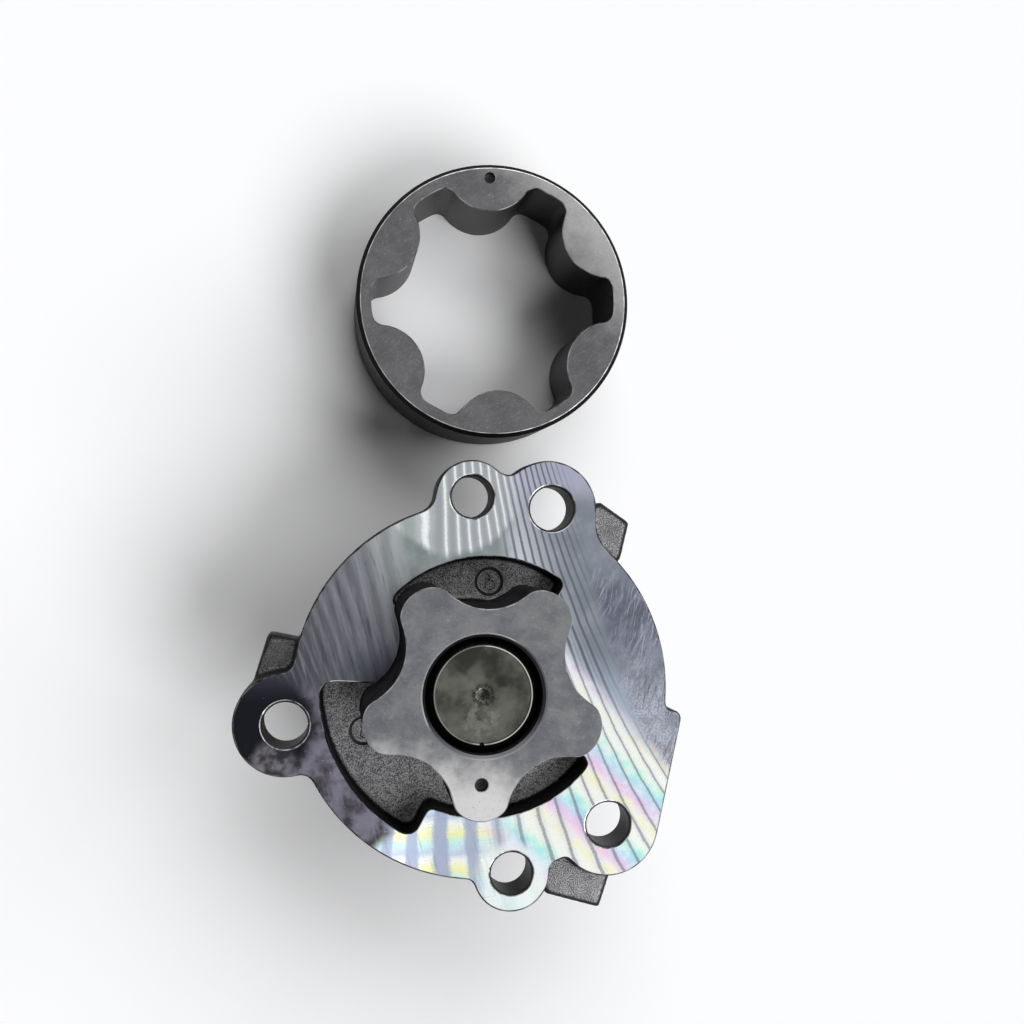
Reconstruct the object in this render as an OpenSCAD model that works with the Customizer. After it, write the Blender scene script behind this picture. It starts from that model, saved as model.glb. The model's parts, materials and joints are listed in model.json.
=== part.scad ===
// Engine oil pump with a five-lobe inner rotor, a six-lobe outer rotor and a drive gear.
// The origin is where the drive shaft's axis crosses the machined mounting face.
// +Z points out of that face, towards the engine. The pump stands on its drive gear, and
// the outer rotor lies beside it, taken off, with its lower face at the same level.

/* [Rotor set] */
// Number of lobes on the inner rotor; the outer rotor has one more
inner_lobes = 5; // [4:1:7]
// Height of both rotors
rotor_height = 23.3; // [15:0.1:40]
// Distance from the outer rotor's centre to the centre of each of its round lobes
lobe_pitch_r = 29.45; // [28:0.05:31]
// Radius of the outer rotor's round lobes
lobe_r = 9.8; // [8:0.05:10.5]
// Distance between the two rotors' axes when the pump is put together
eccentricity = 3.5; // [2.5:0.05:4]
// Clearance between the lobes where they mesh
mesh_clearance = 0.05; // [0.02:0.01:0.2]
// Extra depth of the outer rotor's valleys
valley_clearance = 0.1; // [0.05:0.05:0.5]
// Radius in the corners of the outer rotor's valleys
valley_corner_r = 2.5; // [1:0.1:3]
// Wall of the outer rotor behind its valleys
ring_wall = 3.25; // [2:0.05:8]
// Chamfer at both ends of the outer rotor's round outside
ring_chamfer = 0.85; // [0.2:0.05:1.5]
// Diameter of the timing dots drilled in the rotors
dot_d = 2.4; // [1.5:0.1:3]
// Depth of the timing dots
dot_depth = 1.8; // [0.5:0.1:4]
// Distance of the inner rotor's dot from the shaft axis
inner_dot_r = 16.3; // [14.5:0.1:19]
// Distance of the outer rotor's dot from its own axis
outer_dot_r = 27; // [24:0.1:27.5]
// Chamfer at both ends of the inner rotor's bore
bore_chamfer = 0.45; // [0.1:0.05:1]

/* [How the rotors lie] */
// Direction of the inner rotor's dotted lobe
inner_turn = -92; // [-180:1:180]
// Direction of the outer rotor's dotted lobe
outer_turn = 92; // [-180:1:180]
// Centre of the outer rotor where it lies beside the pump
ring_place = [7.1, 80.9]; // [-120:0.1:120]

/* [Shaft and bearings] */
// Diameter of the shaft in its bushes and in the inner rotor
shaft_d = 22; // [20:0.1:24]
// Depth of the shaft's end below the inner rotor's top face
shaft_recess = 2; // [0.5:0.1:5]
// Chamfer on the rotor end of the shaft
shaft_chamfer = 1.6; // [0.5:0.1:2.5]
// Diameter of the shaft's seat for the drive gear
gear_seat_d = 18; // [17:0.1:19]
// Diameter of the shaft's threaded end
thread_d = 14; // [12:0.5:16]
// Radial running clearance of the shaft in its bushes
bush_clearance = 0.03; // [0.02:0.01:0.08]
// Wall of each bush
bush_wall = 1.5; // [1:0.1:2]
// Length of each bush
bush_length = 9; // [6:0.5:9.5]
// Distance from each end of the housing's bore to its bush
bush_inset = 0.5; // [0.2:0.1:0.7]
// End clearance of the rotating parts
end_clearance = 0.05; // [0.03:0.01:0.15]

/* [Housing] */
// Height of the mounting face above what the pump stands on
face_height = 41.4; // [40:0.1:60]
// Thickness of the bolt flange
flange_t = 8.8; // [8.2:0.1:12]
// Centre of the flange's round outline
flange_centre = [2.4, -1.8]; // [-4:0.1:4]
// Radius of the flange's round outline
flange_r = 38.3; // [37:0.1:40]
// Radius of the body behind the flange
body_r = 35; // [34.5:0.1:36]
// Distance from the mounting face to the back of the body
body_depth = 13.5; // [12:0.1:15]
// Radius of the bearing boss
bearing_boss_r = 17.5; // [16:0.1:20]
// Radius of the bearing boss's cone where it leaves the body
boss_cone_r = 22; // [21:0.1:24]
// Height of that cone
boss_cone_h = 3; // [2:0.1:4]
// Length of the bearing bore, from the mounting face to the boss's end
bearing_length = 20; // [19.5:0.1:20.5]
// Number of ribs between the bearing boss and the body's edge
rib_count = 6; // [3:1:9]
// Thickness of the ribs
rib_t = 3.6; // [2:0.1:5]
// Height of the ribs
rib_h = 3; // [1:0.1:4]
// Distance from the ribs' ends to the radius of the body
rib_inset = 5; // [2:0.5:10]

/* [Ports] */
// Depth of the ports below the mounting face
port_depth = 7.5; // [5:0.1:8]
// Radius of both ports' inner edge, round the shaft axis
port_inner_r = 16; // [15:0.1:18]
// Radius of the ports' outer edge, round the fitted outer rotor's axis
port_outer_r = 26.5; // [24:0.1:28]
// Angle where the outlet port starts
outlet_from = 52; // [45:1:60]
// Angle where the outlet port ends
outlet_to = 138; // [130:1:142]
// Angle where the inlet port starts
inlet_from = 177; // [172:1:182]
// Angle where the inlet port ends
inlet_to = 324; // [310:1:330]
// Radius of the inlet's pocket, which reaches past the outer rotor
pocket_r = 33.6; // [32:0.1:34]
// Angle where the inlet's pocket ends
pocket_to = 243.5; // [230:0.5:250]
// Corner radius of the ports
port_corner_r = 1.6; // [1:0.1:2.5]
// Corner radius of the pocket
pocket_corner_r = 2.6; // [1:0.1:3.5]
// Radius on the nose where the pocket steps in to the port
nose_r = 1.2; // [0.5:0.1:2]
// Radius of the round sinkings in the port floors
sink_r = 3; // [2:0.1:3.5]
// Depth of those sinkings
sink_depth = 0.5; // [0.2:0.1:1]
// Centre of the sinking in the outlet port
outlet_sink = [4.6, 19.9]; // [-30:0.1:30]
// Centre of the sinking in the inlet port
inlet_sink = [-21.4, -10.6]; // [-30:0.1:30]

/* [Bolt holes] */
// Diameter of the close bolt holes, which locate the pump
close_hole_d = 8.4; // [8.2:0.1:9]
// Diameter of the clear bolt holes
clear_hole_d = 9; // [8.4:0.1:10]
// Chamfer of the bolt holes at the mounting face
hole_chamfer = 0.4; // [0.1:0.05:0.8]
// Radius of the faced seats for the bolt heads behind the flange
seat_r = 7.2; // [6.5:0.1:7.5]
// Centre of the top hole
top_hole = [0.3, 37.5]; // [-60:0.1:60]
// Centre of the upper right hole
upper_right_hole = [16.7, 35.1]; // [-60:0.1:60]
// Centre of the left hole
left_hole = [-37.1, -8]; // [-60:0.1:60]
// Centre of the lower right hole
lower_right_hole = [28.4, -29.8]; // [-60:0.1:60]
// Centre of the bottom hole
bottom_hole = [8.3, -39.1]; // [-60:0.1:60]
// Radius of the boss round the top hole
top_boss_r = 7.5; // [6.5:0.1:8.5]
// Radius of the boss round the upper right hole
upper_right_boss_r = 10; // [9:0.1:11]
// Radius of the boss round the left hole
left_boss_r = 10.4; // [9:0.1:11.5]
// Radius of the boss round the lower right hole
lower_right_boss_r = 10.6; // [9:0.1:11.5]
// Radius of the boss round the bottom hole
bottom_boss_r = 7.8; // [6.5:0.1:8.5]
// Centre of the pointed ear on the flange's right side
ear_centre = [42.2, -8.4]; // [-60:0.1:60]
// Radius of the ear's tip
ear_r = 1.7; // [1:0.1:2.5]
// Radius in the corner above the ear
ear_corner_r = 1.2; // [0.5:0.1:3]

/* [Casting lugs] */
// Distance from the mounting face to the lugs
lug_drop = 4; // [2:0.1:6]
// Distance from the mounting face to the back of the lugs
lug_depth = 13; // [9:0.1:13.5]

/* [Drive gear] */
// Number of teeth
gear_teeth = 28; // [24:1:28]
// Module of the teeth
gear_module = 2; // [1.75:0.05:2]
// Pressure angle of the teeth
pressure_angle = 20; // [15:0.5:25]
// Width of the toothed rim
rim_width = 15; // [12:0.1:18]
// Inner radius of the rim, in the recess for the nut
rim_inner_r = 21.5; // [20:0.1:22]
// Distance from the gear's lower face to its web
web_rise = 9.4; // [9.2:0.1:11]
// Radius of the gear's hub
hub_r = 15; // [13.5:0.1:16]
// Thickness of the thrust washer
thrust_t = 1.5; // [1:0.1:2.5]
// Radius of the thrust washer
thrust_r = 16.5; // [15:0.1:17.5]
// Radial clearance of the thrust washer on the shaft
washer_clearance = 0.2; // [0.1:0.05:0.5]
// Number of holes in the gear's web
web_holes = 5; // [3:1:6]
// Diameter of the holes in the gear's web
web_hole_d = 4.4; // [3:0.1:5]
// Width and height of the key
key_size = 5; // [4:0.1:6]
// Distance from each end of the gear's hub to the key
key_inset = 1.225; // [0.5:0.025:2]
// Clearance above the key in the gear's keyway
key_clearance = 0.3; // [0.1:0.05:0.5]

/* [Nut and tab washer] */
// Width of the nut across its flats
nut_width = 21; // [19:0.5:24]
// Height of the nut
nut_h = 6.4; // [5:0.1:6.8]
// Distance from the nut's lower face to the end of the thread
thread_inset = 0.2; // [0:0.1:2]
// Chamfer on the end of the thread
thread_chamfer = 1; // [0.5:0.1:1.5]
// Chamfer of the nut's corners
nut_chamfer = 0.9; // [0.3:0.1:1.5]
// Thickness of the tab washer
tab_t = 1.4; // [1:0.1:1.8]
// Radius of the tab washer
tab_washer_r = 12.6; // [12.3:0.1:14]
// Width of the tab that is bent against the nut
tab_width = 6; // [4:0.5:8]
// Height of that tab below the washer
tab_h = 4; // [2:0.5:6]

/* [Hidden] */
$fn = 96;
eps = 0.01;
overrun = 1;
arc_step = 4;

// Rotor set
outer_lobes = inner_lobes + 1;
valley_r = lobe_pitch_r - lobe_r + 2 * eccentricity + valley_clearance;
ring_r = valley_r + ring_wall;
ring_floor = -face_height;
points_per_lobe = 36;

// Heights along the shaft, from the mounting face
rotor_bottom = end_clearance;
rotor_top = rotor_bottom + rotor_height;
shaft_top = rotor_top - shaft_recess;
thrust_top = -bearing_length - end_clearance;
hub_top = thrust_top - thrust_t;
gear_bottom = -face_height;
web_bottom = gear_bottom + web_rise;
tab_washer_bottom = web_bottom - tab_t;
nut_bottom = tab_washer_bottom - nut_h;
shaft_bottom = nut_bottom + thread_inset;

// Bearings
shaft_r = shaft_d / 2;
bush_bore_r = shaft_r + bush_clearance;
housing_bore_r = bush_bore_r + bush_wall;

// Where the outer rotor's axis goes when the pump is put together
fitted_turn = -20;
fitted_centre = eccentricity * [cos(fitted_turn), sin(fitted_turn)];

// Drive gear
pitch_r = gear_teeth * gear_module / 2;
tip_r = pitch_r + gear_module;
root_r = pitch_r - 1.25 * gear_module;
base_r = pitch_r * cos(pressure_angle);
flank_steps = 5;
tooth_backlash = 0.1;
web_hole_pitch_r = (hub_r + rim_inner_r) / 2;

// Bolt holes: centre, hole diameter, boss centre, boss radius
boss_shift = [-0.7, -0.2];
HOLES = [
    [top_hole, close_hole_d, top_hole, top_boss_r],
    [upper_right_hole, clear_hole_d, upper_right_hole + boss_shift, upper_right_boss_r],
    [left_hole, clear_hole_d, left_hole, left_boss_r],
    [lower_right_hole, clear_hole_d, lower_right_hole, lower_right_boss_r],
    [bottom_hole, close_hole_d, bottom_hole, bottom_boss_r]
];

// The round parts of the flange's outline, each a centre and a radius: the disc, then the
// bosses in the order of HOLES
ROUNDS = concat([[flange_centre, flange_r]], [for (h = HOLES) [h[2], h[3]]]);

// Inside corners of the flange's outline: the two round parts that meet there, the
// corner's radius, and 1 or -1 for its side of the line from the first to the second
CORNERS = [
    [0, 1, 4, 1], [2, 1, 3, -1], [0, 2, 9, -1], [0, 3, 2.2, -1], [0, 3, 2.5, 1],
    [0, 5, 1.5, -1], [5, 4, 3.2, 1]
];

// Casting lugs: the corners of each, seen from the mounting face
LUGS = [
    [[27.9, 36.6], [34.1, 32.3], [32.2, 24.4], [24, 22], [20, 32]],
    [[-40.7, 9.9], [-43.9, -0.6], [-38.6, -2], [-32, 0], [-30, 7.6]],
    [[16, -44.9], [27.5, -48.3], [29.8, -41.4], [26, -32], [14, -34]]
];

// Colours
iron = [0.36, 0.37, 0.4];
ground_steel = [0.5, 0.5, 0.53];
dark_steel = [0.3, 0.31, 0.3];
bronze = [0.62, 0.47, 0.28];
plated = [0.55, 0.55, 0.52];

function polar(r, a) = r * [cos(a), sin(a)];
function unit(v) = v / norm(v);
function left_normal(v) = [-v[1], v[0]];
function turn_of(v) = atan2(v[1], v[0]);
function arc(centre, r, a0, a1) =
    let (steps = ceil(abs(a1 - a0) / arc_step))
    [for (k = [0:steps]) centre + polar(r, a0 + k * (a1 - a0) / steps)];

// Centre of a circle of radius f that touches two circles from outside, left of the line
// from the first centre to the second when side is 1 and right of it when side is -1
function fillet_centre(c1, r1, c2, r2, f, side) =
    let (d = norm(c2 - c1), a = r1 + f, b = r2 + f, x = (d * d + a * a - b * b) / (2 * d))
    c1 + unit(c2 - c1) * x + side * left_normal(unit(c2 - c1)) * sqrt(a * a - x * x);

// Direction in which two circles are touched by the line on their right-hand side
function tangent_turn(c1, r1, c2, r2) =
    turn_of(c2 - c1) - acos((r1 - r2) / norm(c2 - c1));

// The inner rotor is the curve that the outer rotor's round lobes sweep out: the lobe's
// centre follows a trochoid, and the outline lies a lobe radius inside it
function lobe_path(t) =
    polar(lobe_pitch_r, t) + polar(eccentricity, outer_lobes * t);
function path_direction(t) =
    unit(lobe_pitch_r * [-sin(t), cos(t)]
        + eccentricity * outer_lobes * [-sin(outer_lobes * t), cos(outer_lobes * t)]);
function rotor_point(t) =
    lobe_path(t) + left_normal(path_direction(t)) * (lobe_r + mesh_clearance);

// Half the angle that a gear tooth fills at radius r
function involute(a) = tan(a) * 180 / PI - a;
function tooth_half_angle(r) =
    (90 - tooth_backlash * 90 / gear_module) / gear_teeth + involute(pressure_angle)
    - involute(acos(min(1, base_r / max(r, base_r))));

// The web of metal that rounds the corner between two round parts, each a centre and a
// radius
module fillet_web(a, b, f, side) {
    centre = fillet_centre(a[0], a[1], b[0], b[1], f, side);
    difference() {
        polygon([a[0], centre, b[0]]);
        translate(centre) circle(r = f);
    }
}

// The straight flank from the lower right boss up to the ear
module ear_outline() {
    boss = HOLES[3][2];
    boss_r = HOLES[3][3];
    turn = tangent_turn(boss, boss_r, ear_centre, ear_r);
    translate(ear_centre) circle(r = ear_r);
    polygon([
        boss, boss + polar(boss_r, turn), ear_centre + polar(ear_r, turn), ear_centre,
        flange_centre
    ]);
    fillet_web(ROUNDS[0], [ear_centre, ear_r], ear_corner_r, 1);
}

module flange_outline() {
    for (part = ROUNDS) translate(part[0]) circle(r = part[1]);
    for (c = CORNERS) fillet_web(ROUNDS[c[0]], ROUNDS[c[1]], c[2], c[3]);
    ear_outline();
}

// Both ports are drawn round the fitted outer rotor's axis. Their end walls are radial
// there, and their inner edge is round the shaft axis.
function end_wall(a) =
    let (c = fitted_centre * polar(1, a), reach = -c
        + sqrt(c * c - pow(eccentricity, 2) + pow(port_inner_r, 2)))
    fitted_centre + polar(reach, a);
function corner_turn(r, corner_r) = asin(corner_r / (r - corner_r));

// The rounded corner where a port's outer edge of radius r meets its end wall at angle a,
// at the start of the port when side is 1 and at its end when side is -1
function port_corner(r, corner_r, a, side) =
    let (turn = side * corner_turn(r, corner_r), centre = fitted_centre + polar(r - corner_r, a + turn))
    side > 0 ? arc(centre, corner_r, a - 90, a + turn) : arc(centre, corner_r, a + turn, a + 90);
function port_edge(r, corner_r, a0, a1) = concat(
    port_corner(r, corner_r, a0, 1),
    arc(fitted_centre, r, a0 + corner_turn(r, corner_r), a1 - corner_turn(r, corner_r)),
    port_corner(r, corner_r, a1, -1)
);
function inner_edge(a0, a1) =
    let (p0 = end_wall(a0), p1 = end_wall(a1), turn = turn_of(p0), sweep = turn_of(p1) - turn)
    arc([0, 0], port_inner_r, turn + (sweep < 0 ? sweep + 360 : sweep), turn);

// The nose where the pocket steps in to the port
nose_turn = asin(nose_r / (port_outer_r + nose_r));
nose_centre = fitted_centre + polar(port_outer_r + nose_r, pocket_to + nose_turn);

module outlet_outline() {
    polygon(concat(
        port_edge(port_outer_r, port_corner_r, outlet_from, outlet_to),
        inner_edge(outlet_from, outlet_to)
    ));
}

module inlet_outline() {
    end_turn = corner_turn(port_outer_r, port_corner_r);
    polygon(concat(
        port_edge(pocket_r, pocket_corner_r, inlet_from, pocket_to),
        arc(nose_centre, nose_r, pocket_to - 90, pocket_to + nose_turn - 180),
        arc(fitted_centre, port_outer_r, pocket_to + nose_turn, inlet_to - end_turn),
        port_corner(port_outer_r, port_corner_r, inlet_to, -1),
        inner_edge(inlet_from, inlet_to)
    ));
}

module housing_blank() {
    translate([0, 0, -flange_t]) linear_extrude(flange_t) flange_outline();
    translate([flange_centre[0], flange_centre[1], -body_depth]) {
        cylinder(r = body_r, h = body_depth - eps);
    }
    translate([0, 0, -body_depth - boss_cone_h]) {
        cylinder(r1 = bearing_boss_r, r2 = boss_cone_r, h = boss_cone_h);
    }
    translate([0, 0, -bearing_length]) cylinder(r = bearing_boss_r, h = bearing_length - eps);
    for (k = [0:rib_count - 1]) rotate(k * 360 / rib_count) {
        translate([0, -rib_t / 2, -body_depth - rib_h]) {
            cube([body_r - rib_inset, rib_t, rib_h]);
        }
    }
    for (lug = LUGS) {
        translate([0, 0, -lug_depth]) linear_extrude(lug_depth - lug_drop) polygon(lug);
    }
}

module bolt_hole(place, d) {
    translate([place[0], place[1], 0]) {
        translate([0, 0, -flange_t - overrun]) cylinder(d = d, h = flange_t + 2 * overrun);
        translate([0, 0, -hole_chamfer]) {
            cylinder(d1 = d, d2 = d + 4 * hole_chamfer, h = 2 * hole_chamfer);
        }
        translate([0, 0, -bearing_length]) {
            cylinder(r = seat_r, h = bearing_length - flange_t);
        }
    }
}

module sinking(place) {
    translate([place[0], place[1], -port_depth - sink_depth]) {
        cylinder(r = sink_r, h = sink_depth + eps);
    }
}

module pump_housing() {
    color(iron) difference() {
        housing_blank();
        translate([0, 0, -port_depth]) linear_extrude(port_depth + overrun) {
            outlet_outline();
            inlet_outline();
        }
        sinking(outlet_sink);
        sinking(inlet_sink);
        translate([0, 0, -bearing_length - overrun]) {
            cylinder(r = housing_bore_r, h = bearing_length + 2 * overrun);
        }
        for (h = HOLES) bolt_hole(h[0], h[1]);
    }
}

module bush(top) {
    color(bronze) translate([0, 0, top - bush_length]) difference() {
        cylinder(r = housing_bore_r, h = bush_length);
        translate([0, 0, -overrun]) cylinder(r = bush_bore_r, h = bush_length + 2 * overrun);
    }
}

module front_bush() {
    bush(-bush_inset);
}

module rear_bush() {
    bush(-bearing_length + bush_inset + bush_length);
}

module key_space(height) {
    key_length = hub_top - web_bottom - 2 * key_inset;
    translate([gear_seat_d / 2 - key_size / 2, -key_size / 2, web_bottom + key_inset]) {
        cube([height, key_size, key_length]);
    }
}

module drive_shaft() {
    profile = [
        [0, shaft_bottom], [thread_d / 2 - thread_chamfer, shaft_bottom],
        [thread_d / 2, shaft_bottom + thread_chamfer],
        [thread_d / 2, web_bottom], [gear_seat_d / 2, web_bottom], [gear_seat_d / 2, hub_top],
        [shaft_r, hub_top], [shaft_r, shaft_top - shaft_chamfer],
        [shaft_r - shaft_chamfer, shaft_top], [0, shaft_top]
    ];
    centre_mark_r = 1.1;
    color(dark_steel) difference() {
        rotate_extrude() polygon(profile);
        translate([0, 0, shaft_top - centre_mark_r]) {
            cylinder(r1 = 0, r2 = 2 * centre_mark_r, h = 2 * centre_mark_r);
        }
        key_space(key_size);
    }
}

module gear_key() {
    color(plated) key_space(key_size);
}

module inner_rotor() {
    count = inner_lobes * points_per_lobe;
    color(ground_steel) rotate(inner_turn) difference() {
        translate([0, 0, rotor_bottom]) linear_extrude(rotor_height) {
            polygon([for (k = [0:count - 1]) rotor_point(k * 360 / count)]);
        }
        translate([0, 0, rotor_bottom - overrun]) {
            cylinder(r = shaft_r, h = rotor_height + 2 * overrun);
        }
        translate([0, 0, rotor_top - bore_chamfer]) {
            cylinder(r1 = shaft_r, r2 = shaft_r + 2 * bore_chamfer, h = 2 * bore_chamfer);
        }
        translate([0, 0, rotor_bottom - bore_chamfer]) {
            cylinder(r1 = shaft_r + 2 * bore_chamfer, r2 = shaft_r, h = 2 * bore_chamfer);
        }
        translate([inner_dot_r, 0, rotor_top - dot_depth]) {
            cylinder(d = dot_d, h = dot_depth + overrun);
        }
    }
}

// The metal that rounds one corner of a valley, beside the lobe on the X axis
module valley_corner(side) {
    a = valley_r - valley_corner_r;
    b = lobe_r + valley_corner_r;
    turn = acos((a * a + pow(lobe_pitch_r, 2) - b * b) / (2 * a * lobe_pitch_r));
    centre = polar(a, side * turn);
    lobe_centre = [lobe_pitch_r, 0];
    difference() {
        polygon([
            centre, lobe_centre + lobe_r * unit(centre - lobe_centre), lobe_centre,
            polar(ring_r, side * turn)
        ]);
        translate(centre) circle(r = valley_corner_r);
    }
}

module cavity_outline() {
    difference() {
        circle(r = valley_r);
        for (k = [0:outer_lobes - 1]) rotate(k * 360 / outer_lobes) {
            translate([lobe_pitch_r, 0]) circle(r = lobe_r);
            valley_corner(1);
            valley_corner(-1);
        }
    }
}

module outer_rotor() {
    c = ring_chamfer;
    blank = [
        [0, 0], [ring_r - c, 0], [ring_r, c], [ring_r, rotor_height - c],
        [ring_r - c, rotor_height], [0, rotor_height]
    ];
    color(ground_steel) translate([ring_place[0], ring_place[1], ring_floor]) rotate(outer_turn) {
        difference() {
            rotate_extrude() polygon(blank);
            translate([0, 0, -overrun]) linear_extrude(rotor_height + 2 * overrun) {
                cavity_outline();
            }
            translate([outer_dot_r, 0, rotor_height - dot_depth]) {
                cylinder(d = dot_d, h = dot_depth + overrun);
            }
        }
    }
}

module thrust_washer() {
    color(bronze) translate([0, 0, hub_top]) difference() {
        cylinder(r = thrust_r, h = thrust_t);
        translate([0, 0, -overrun]) {
            cylinder(r = shaft_r + washer_clearance, h = thrust_t + 2 * overrun);
        }
    }
}

module gear_outline() {
    step = (tip_r - root_r) / flank_steps;
    polygon([
        for (k = [0:gear_teeth - 1]) each concat(
            [for (i = [0:flank_steps]) let (r = root_r + i * step)
                polar(r, k * 360 / gear_teeth - tooth_half_angle(r))],
            [for (i = [flank_steps:-1:0]) let (r = root_r + i * step)
                polar(r, k * 360 / gear_teeth + tooth_half_angle(r))]
        )
    ]);
}

module drive_gear() {
    hub_length = hub_top - web_bottom;
    color(dark_steel) difference() {
        union() {
            translate([0, 0, gear_bottom]) linear_extrude(rim_width) gear_outline();
            translate([0, 0, web_bottom]) cylinder(r = hub_r, h = hub_length);
        }
        translate([0, 0, gear_bottom - overrun]) {
            cylinder(r = rim_inner_r, h = web_rise + overrun);
            cylinder(r = gear_seat_d / 2, h = face_height);
        }
        for (k = [0:web_holes - 1]) rotate(k * 360 / web_holes) {
            translate([web_hole_pitch_r, 0, gear_bottom]) cylinder(d = web_hole_d, h = face_height);
        }
        key_space(key_size + key_clearance);
    }
}

module tab_washer() {
    inner_r = thread_d / 2 + washer_clearance;
    color(plated) {
        difference() {
            translate([0, 0, tab_washer_bottom]) cylinder(r = tab_washer_r, h = tab_t);
            translate([0, 0, tab_washer_bottom - overrun]) {
                cylinder(r = inner_r, h = tab_t + 2 * overrun);
            }
        }
        translate([nut_width / 2 + washer_clearance, -tab_width / 2, tab_washer_bottom - tab_h]) {
            cube([tab_t, tab_width, tab_h + eps]);
        }
    }
}

module shaft_nut() {
    corner_r = nut_width / 2 / cos(30);
    color(plated) difference() {
        intersection() {
            translate([0, 0, nut_bottom]) rotate(30) cylinder(r = corner_r, h = nut_h, $fn = 6);
            translate([0, 0, nut_bottom]) {
                cylinder(r1 = corner_r - nut_chamfer, r2 = corner_r - nut_chamfer + 2 * nut_h, h = nut_h);
            }
        }
        translate([0, 0, nut_bottom - overrun]) cylinder(d = thread_d, h = nut_h + 2 * overrun);
    }
}

pump_housing();
front_bush();
rear_bush();
drive_shaft();
inner_rotor();
outer_rotor();
thrust_washer();
drive_gear();
gear_key();
tab_washer();
shaft_nut();
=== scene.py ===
# %% [markdown]
# An engine's oil pump, taken apart on a bench. Its iron housing lies with the machined
# mounting face up, the five-lobe rotor still sits on its shaft, and the six-lobe ring that
# runs round that rotor has been lifted off and laid beside it.
# The CAD model fixes every size and place. This script only dresses it: it builds finer
# meshes over the CAD nodes, and gives each surface the finish of cast, milled, drilled or
# ground metal.

import json
import math
from types import SimpleNamespace

import bmesh
import bpy
from mathutils import Matrix, Vector


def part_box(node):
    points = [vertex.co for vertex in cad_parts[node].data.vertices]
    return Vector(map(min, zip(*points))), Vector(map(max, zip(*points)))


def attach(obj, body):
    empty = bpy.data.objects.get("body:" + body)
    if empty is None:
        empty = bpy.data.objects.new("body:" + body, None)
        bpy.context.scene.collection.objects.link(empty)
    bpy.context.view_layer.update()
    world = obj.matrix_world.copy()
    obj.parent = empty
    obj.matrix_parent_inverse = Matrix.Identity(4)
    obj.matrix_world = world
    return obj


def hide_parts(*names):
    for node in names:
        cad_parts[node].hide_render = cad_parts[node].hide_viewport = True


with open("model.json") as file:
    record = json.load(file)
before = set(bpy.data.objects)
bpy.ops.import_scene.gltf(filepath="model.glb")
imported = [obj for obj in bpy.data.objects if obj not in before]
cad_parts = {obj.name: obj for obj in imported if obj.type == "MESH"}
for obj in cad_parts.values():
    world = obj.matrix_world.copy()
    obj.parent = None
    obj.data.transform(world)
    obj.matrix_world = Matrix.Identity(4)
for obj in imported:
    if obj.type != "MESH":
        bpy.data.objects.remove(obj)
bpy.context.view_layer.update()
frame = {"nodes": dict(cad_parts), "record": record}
nodes = frame["nodes"]
print("CAD nodes:", ", ".join(sorted(nodes)))

# %% [markdown]
# Blender works in metres and the drawing of this pump is in millimetres, so one factor
# turns one into the other. The places that several pieces share are read from the CAD
# model itself: the mounts carry the bolt holes, and a node's box gives its heights.

# %% Shared sizes, read from the frame
MM = 0.001
TOUCHING = 0.001 * MM  # points closer than this are one point
mounts = {mount["name"]: mount for mount in frame["record"]["mounts"]}
bolt_holes = [mount for name, mount in mounts.items() if name.endswith("bolt_hole")]
ring_low, ring_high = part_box("outer_rotor")
rotor_low, rotor_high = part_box("inner_rotor")
shaft_low, shaft_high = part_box("drive_shaft")
bush_low, bush_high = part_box("front_bush")
gear_low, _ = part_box("drive_gear")
key_low, key_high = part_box("gear_key")
ring_centre = (ring_low + ring_high) / 2
floor_z = ring_low.z
print("floor at", round(floor_z / MM, 2), "mm, ring centre at", ring_centre / MM)

# %% [markdown]
# The camera comes first, because everything else is judged through it. It hangs a quarter
# of a metre above the pump, a little to its left and towards the ring, and looks almost
# straight down. That lean is why the right-hand wall of every bolt hole shows.

# %% Camera
camera_data = bpy.data.cameras.new("bench_camera")
camera_data.sensor_width = 36
camera_data.lens = 44.18
camera = bpy.data.objects.new("bench_camera", camera_data)
camera.location = (-28.14 * MM, 30.8 * MM, 253.87 * MM)
camera.rotation_euler = (0.014, -0.143, 0)
bpy.context.scene.collection.objects.link(camera)
bpy.context.scene.camera = camera
print("camera", tuple(round(v / MM, 1) for v in camera.location), "mm")

# %% [markdown]
# Node trees are easier to read as sums than as boxes and wires. `Wire` wraps one socket of
# a tree, and its operators add the Math or Vector Math node that the sum needs. Every
# other kind of node comes from `make`, which sets the node's own settings first, because
# some of them change which sockets it has.

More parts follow.
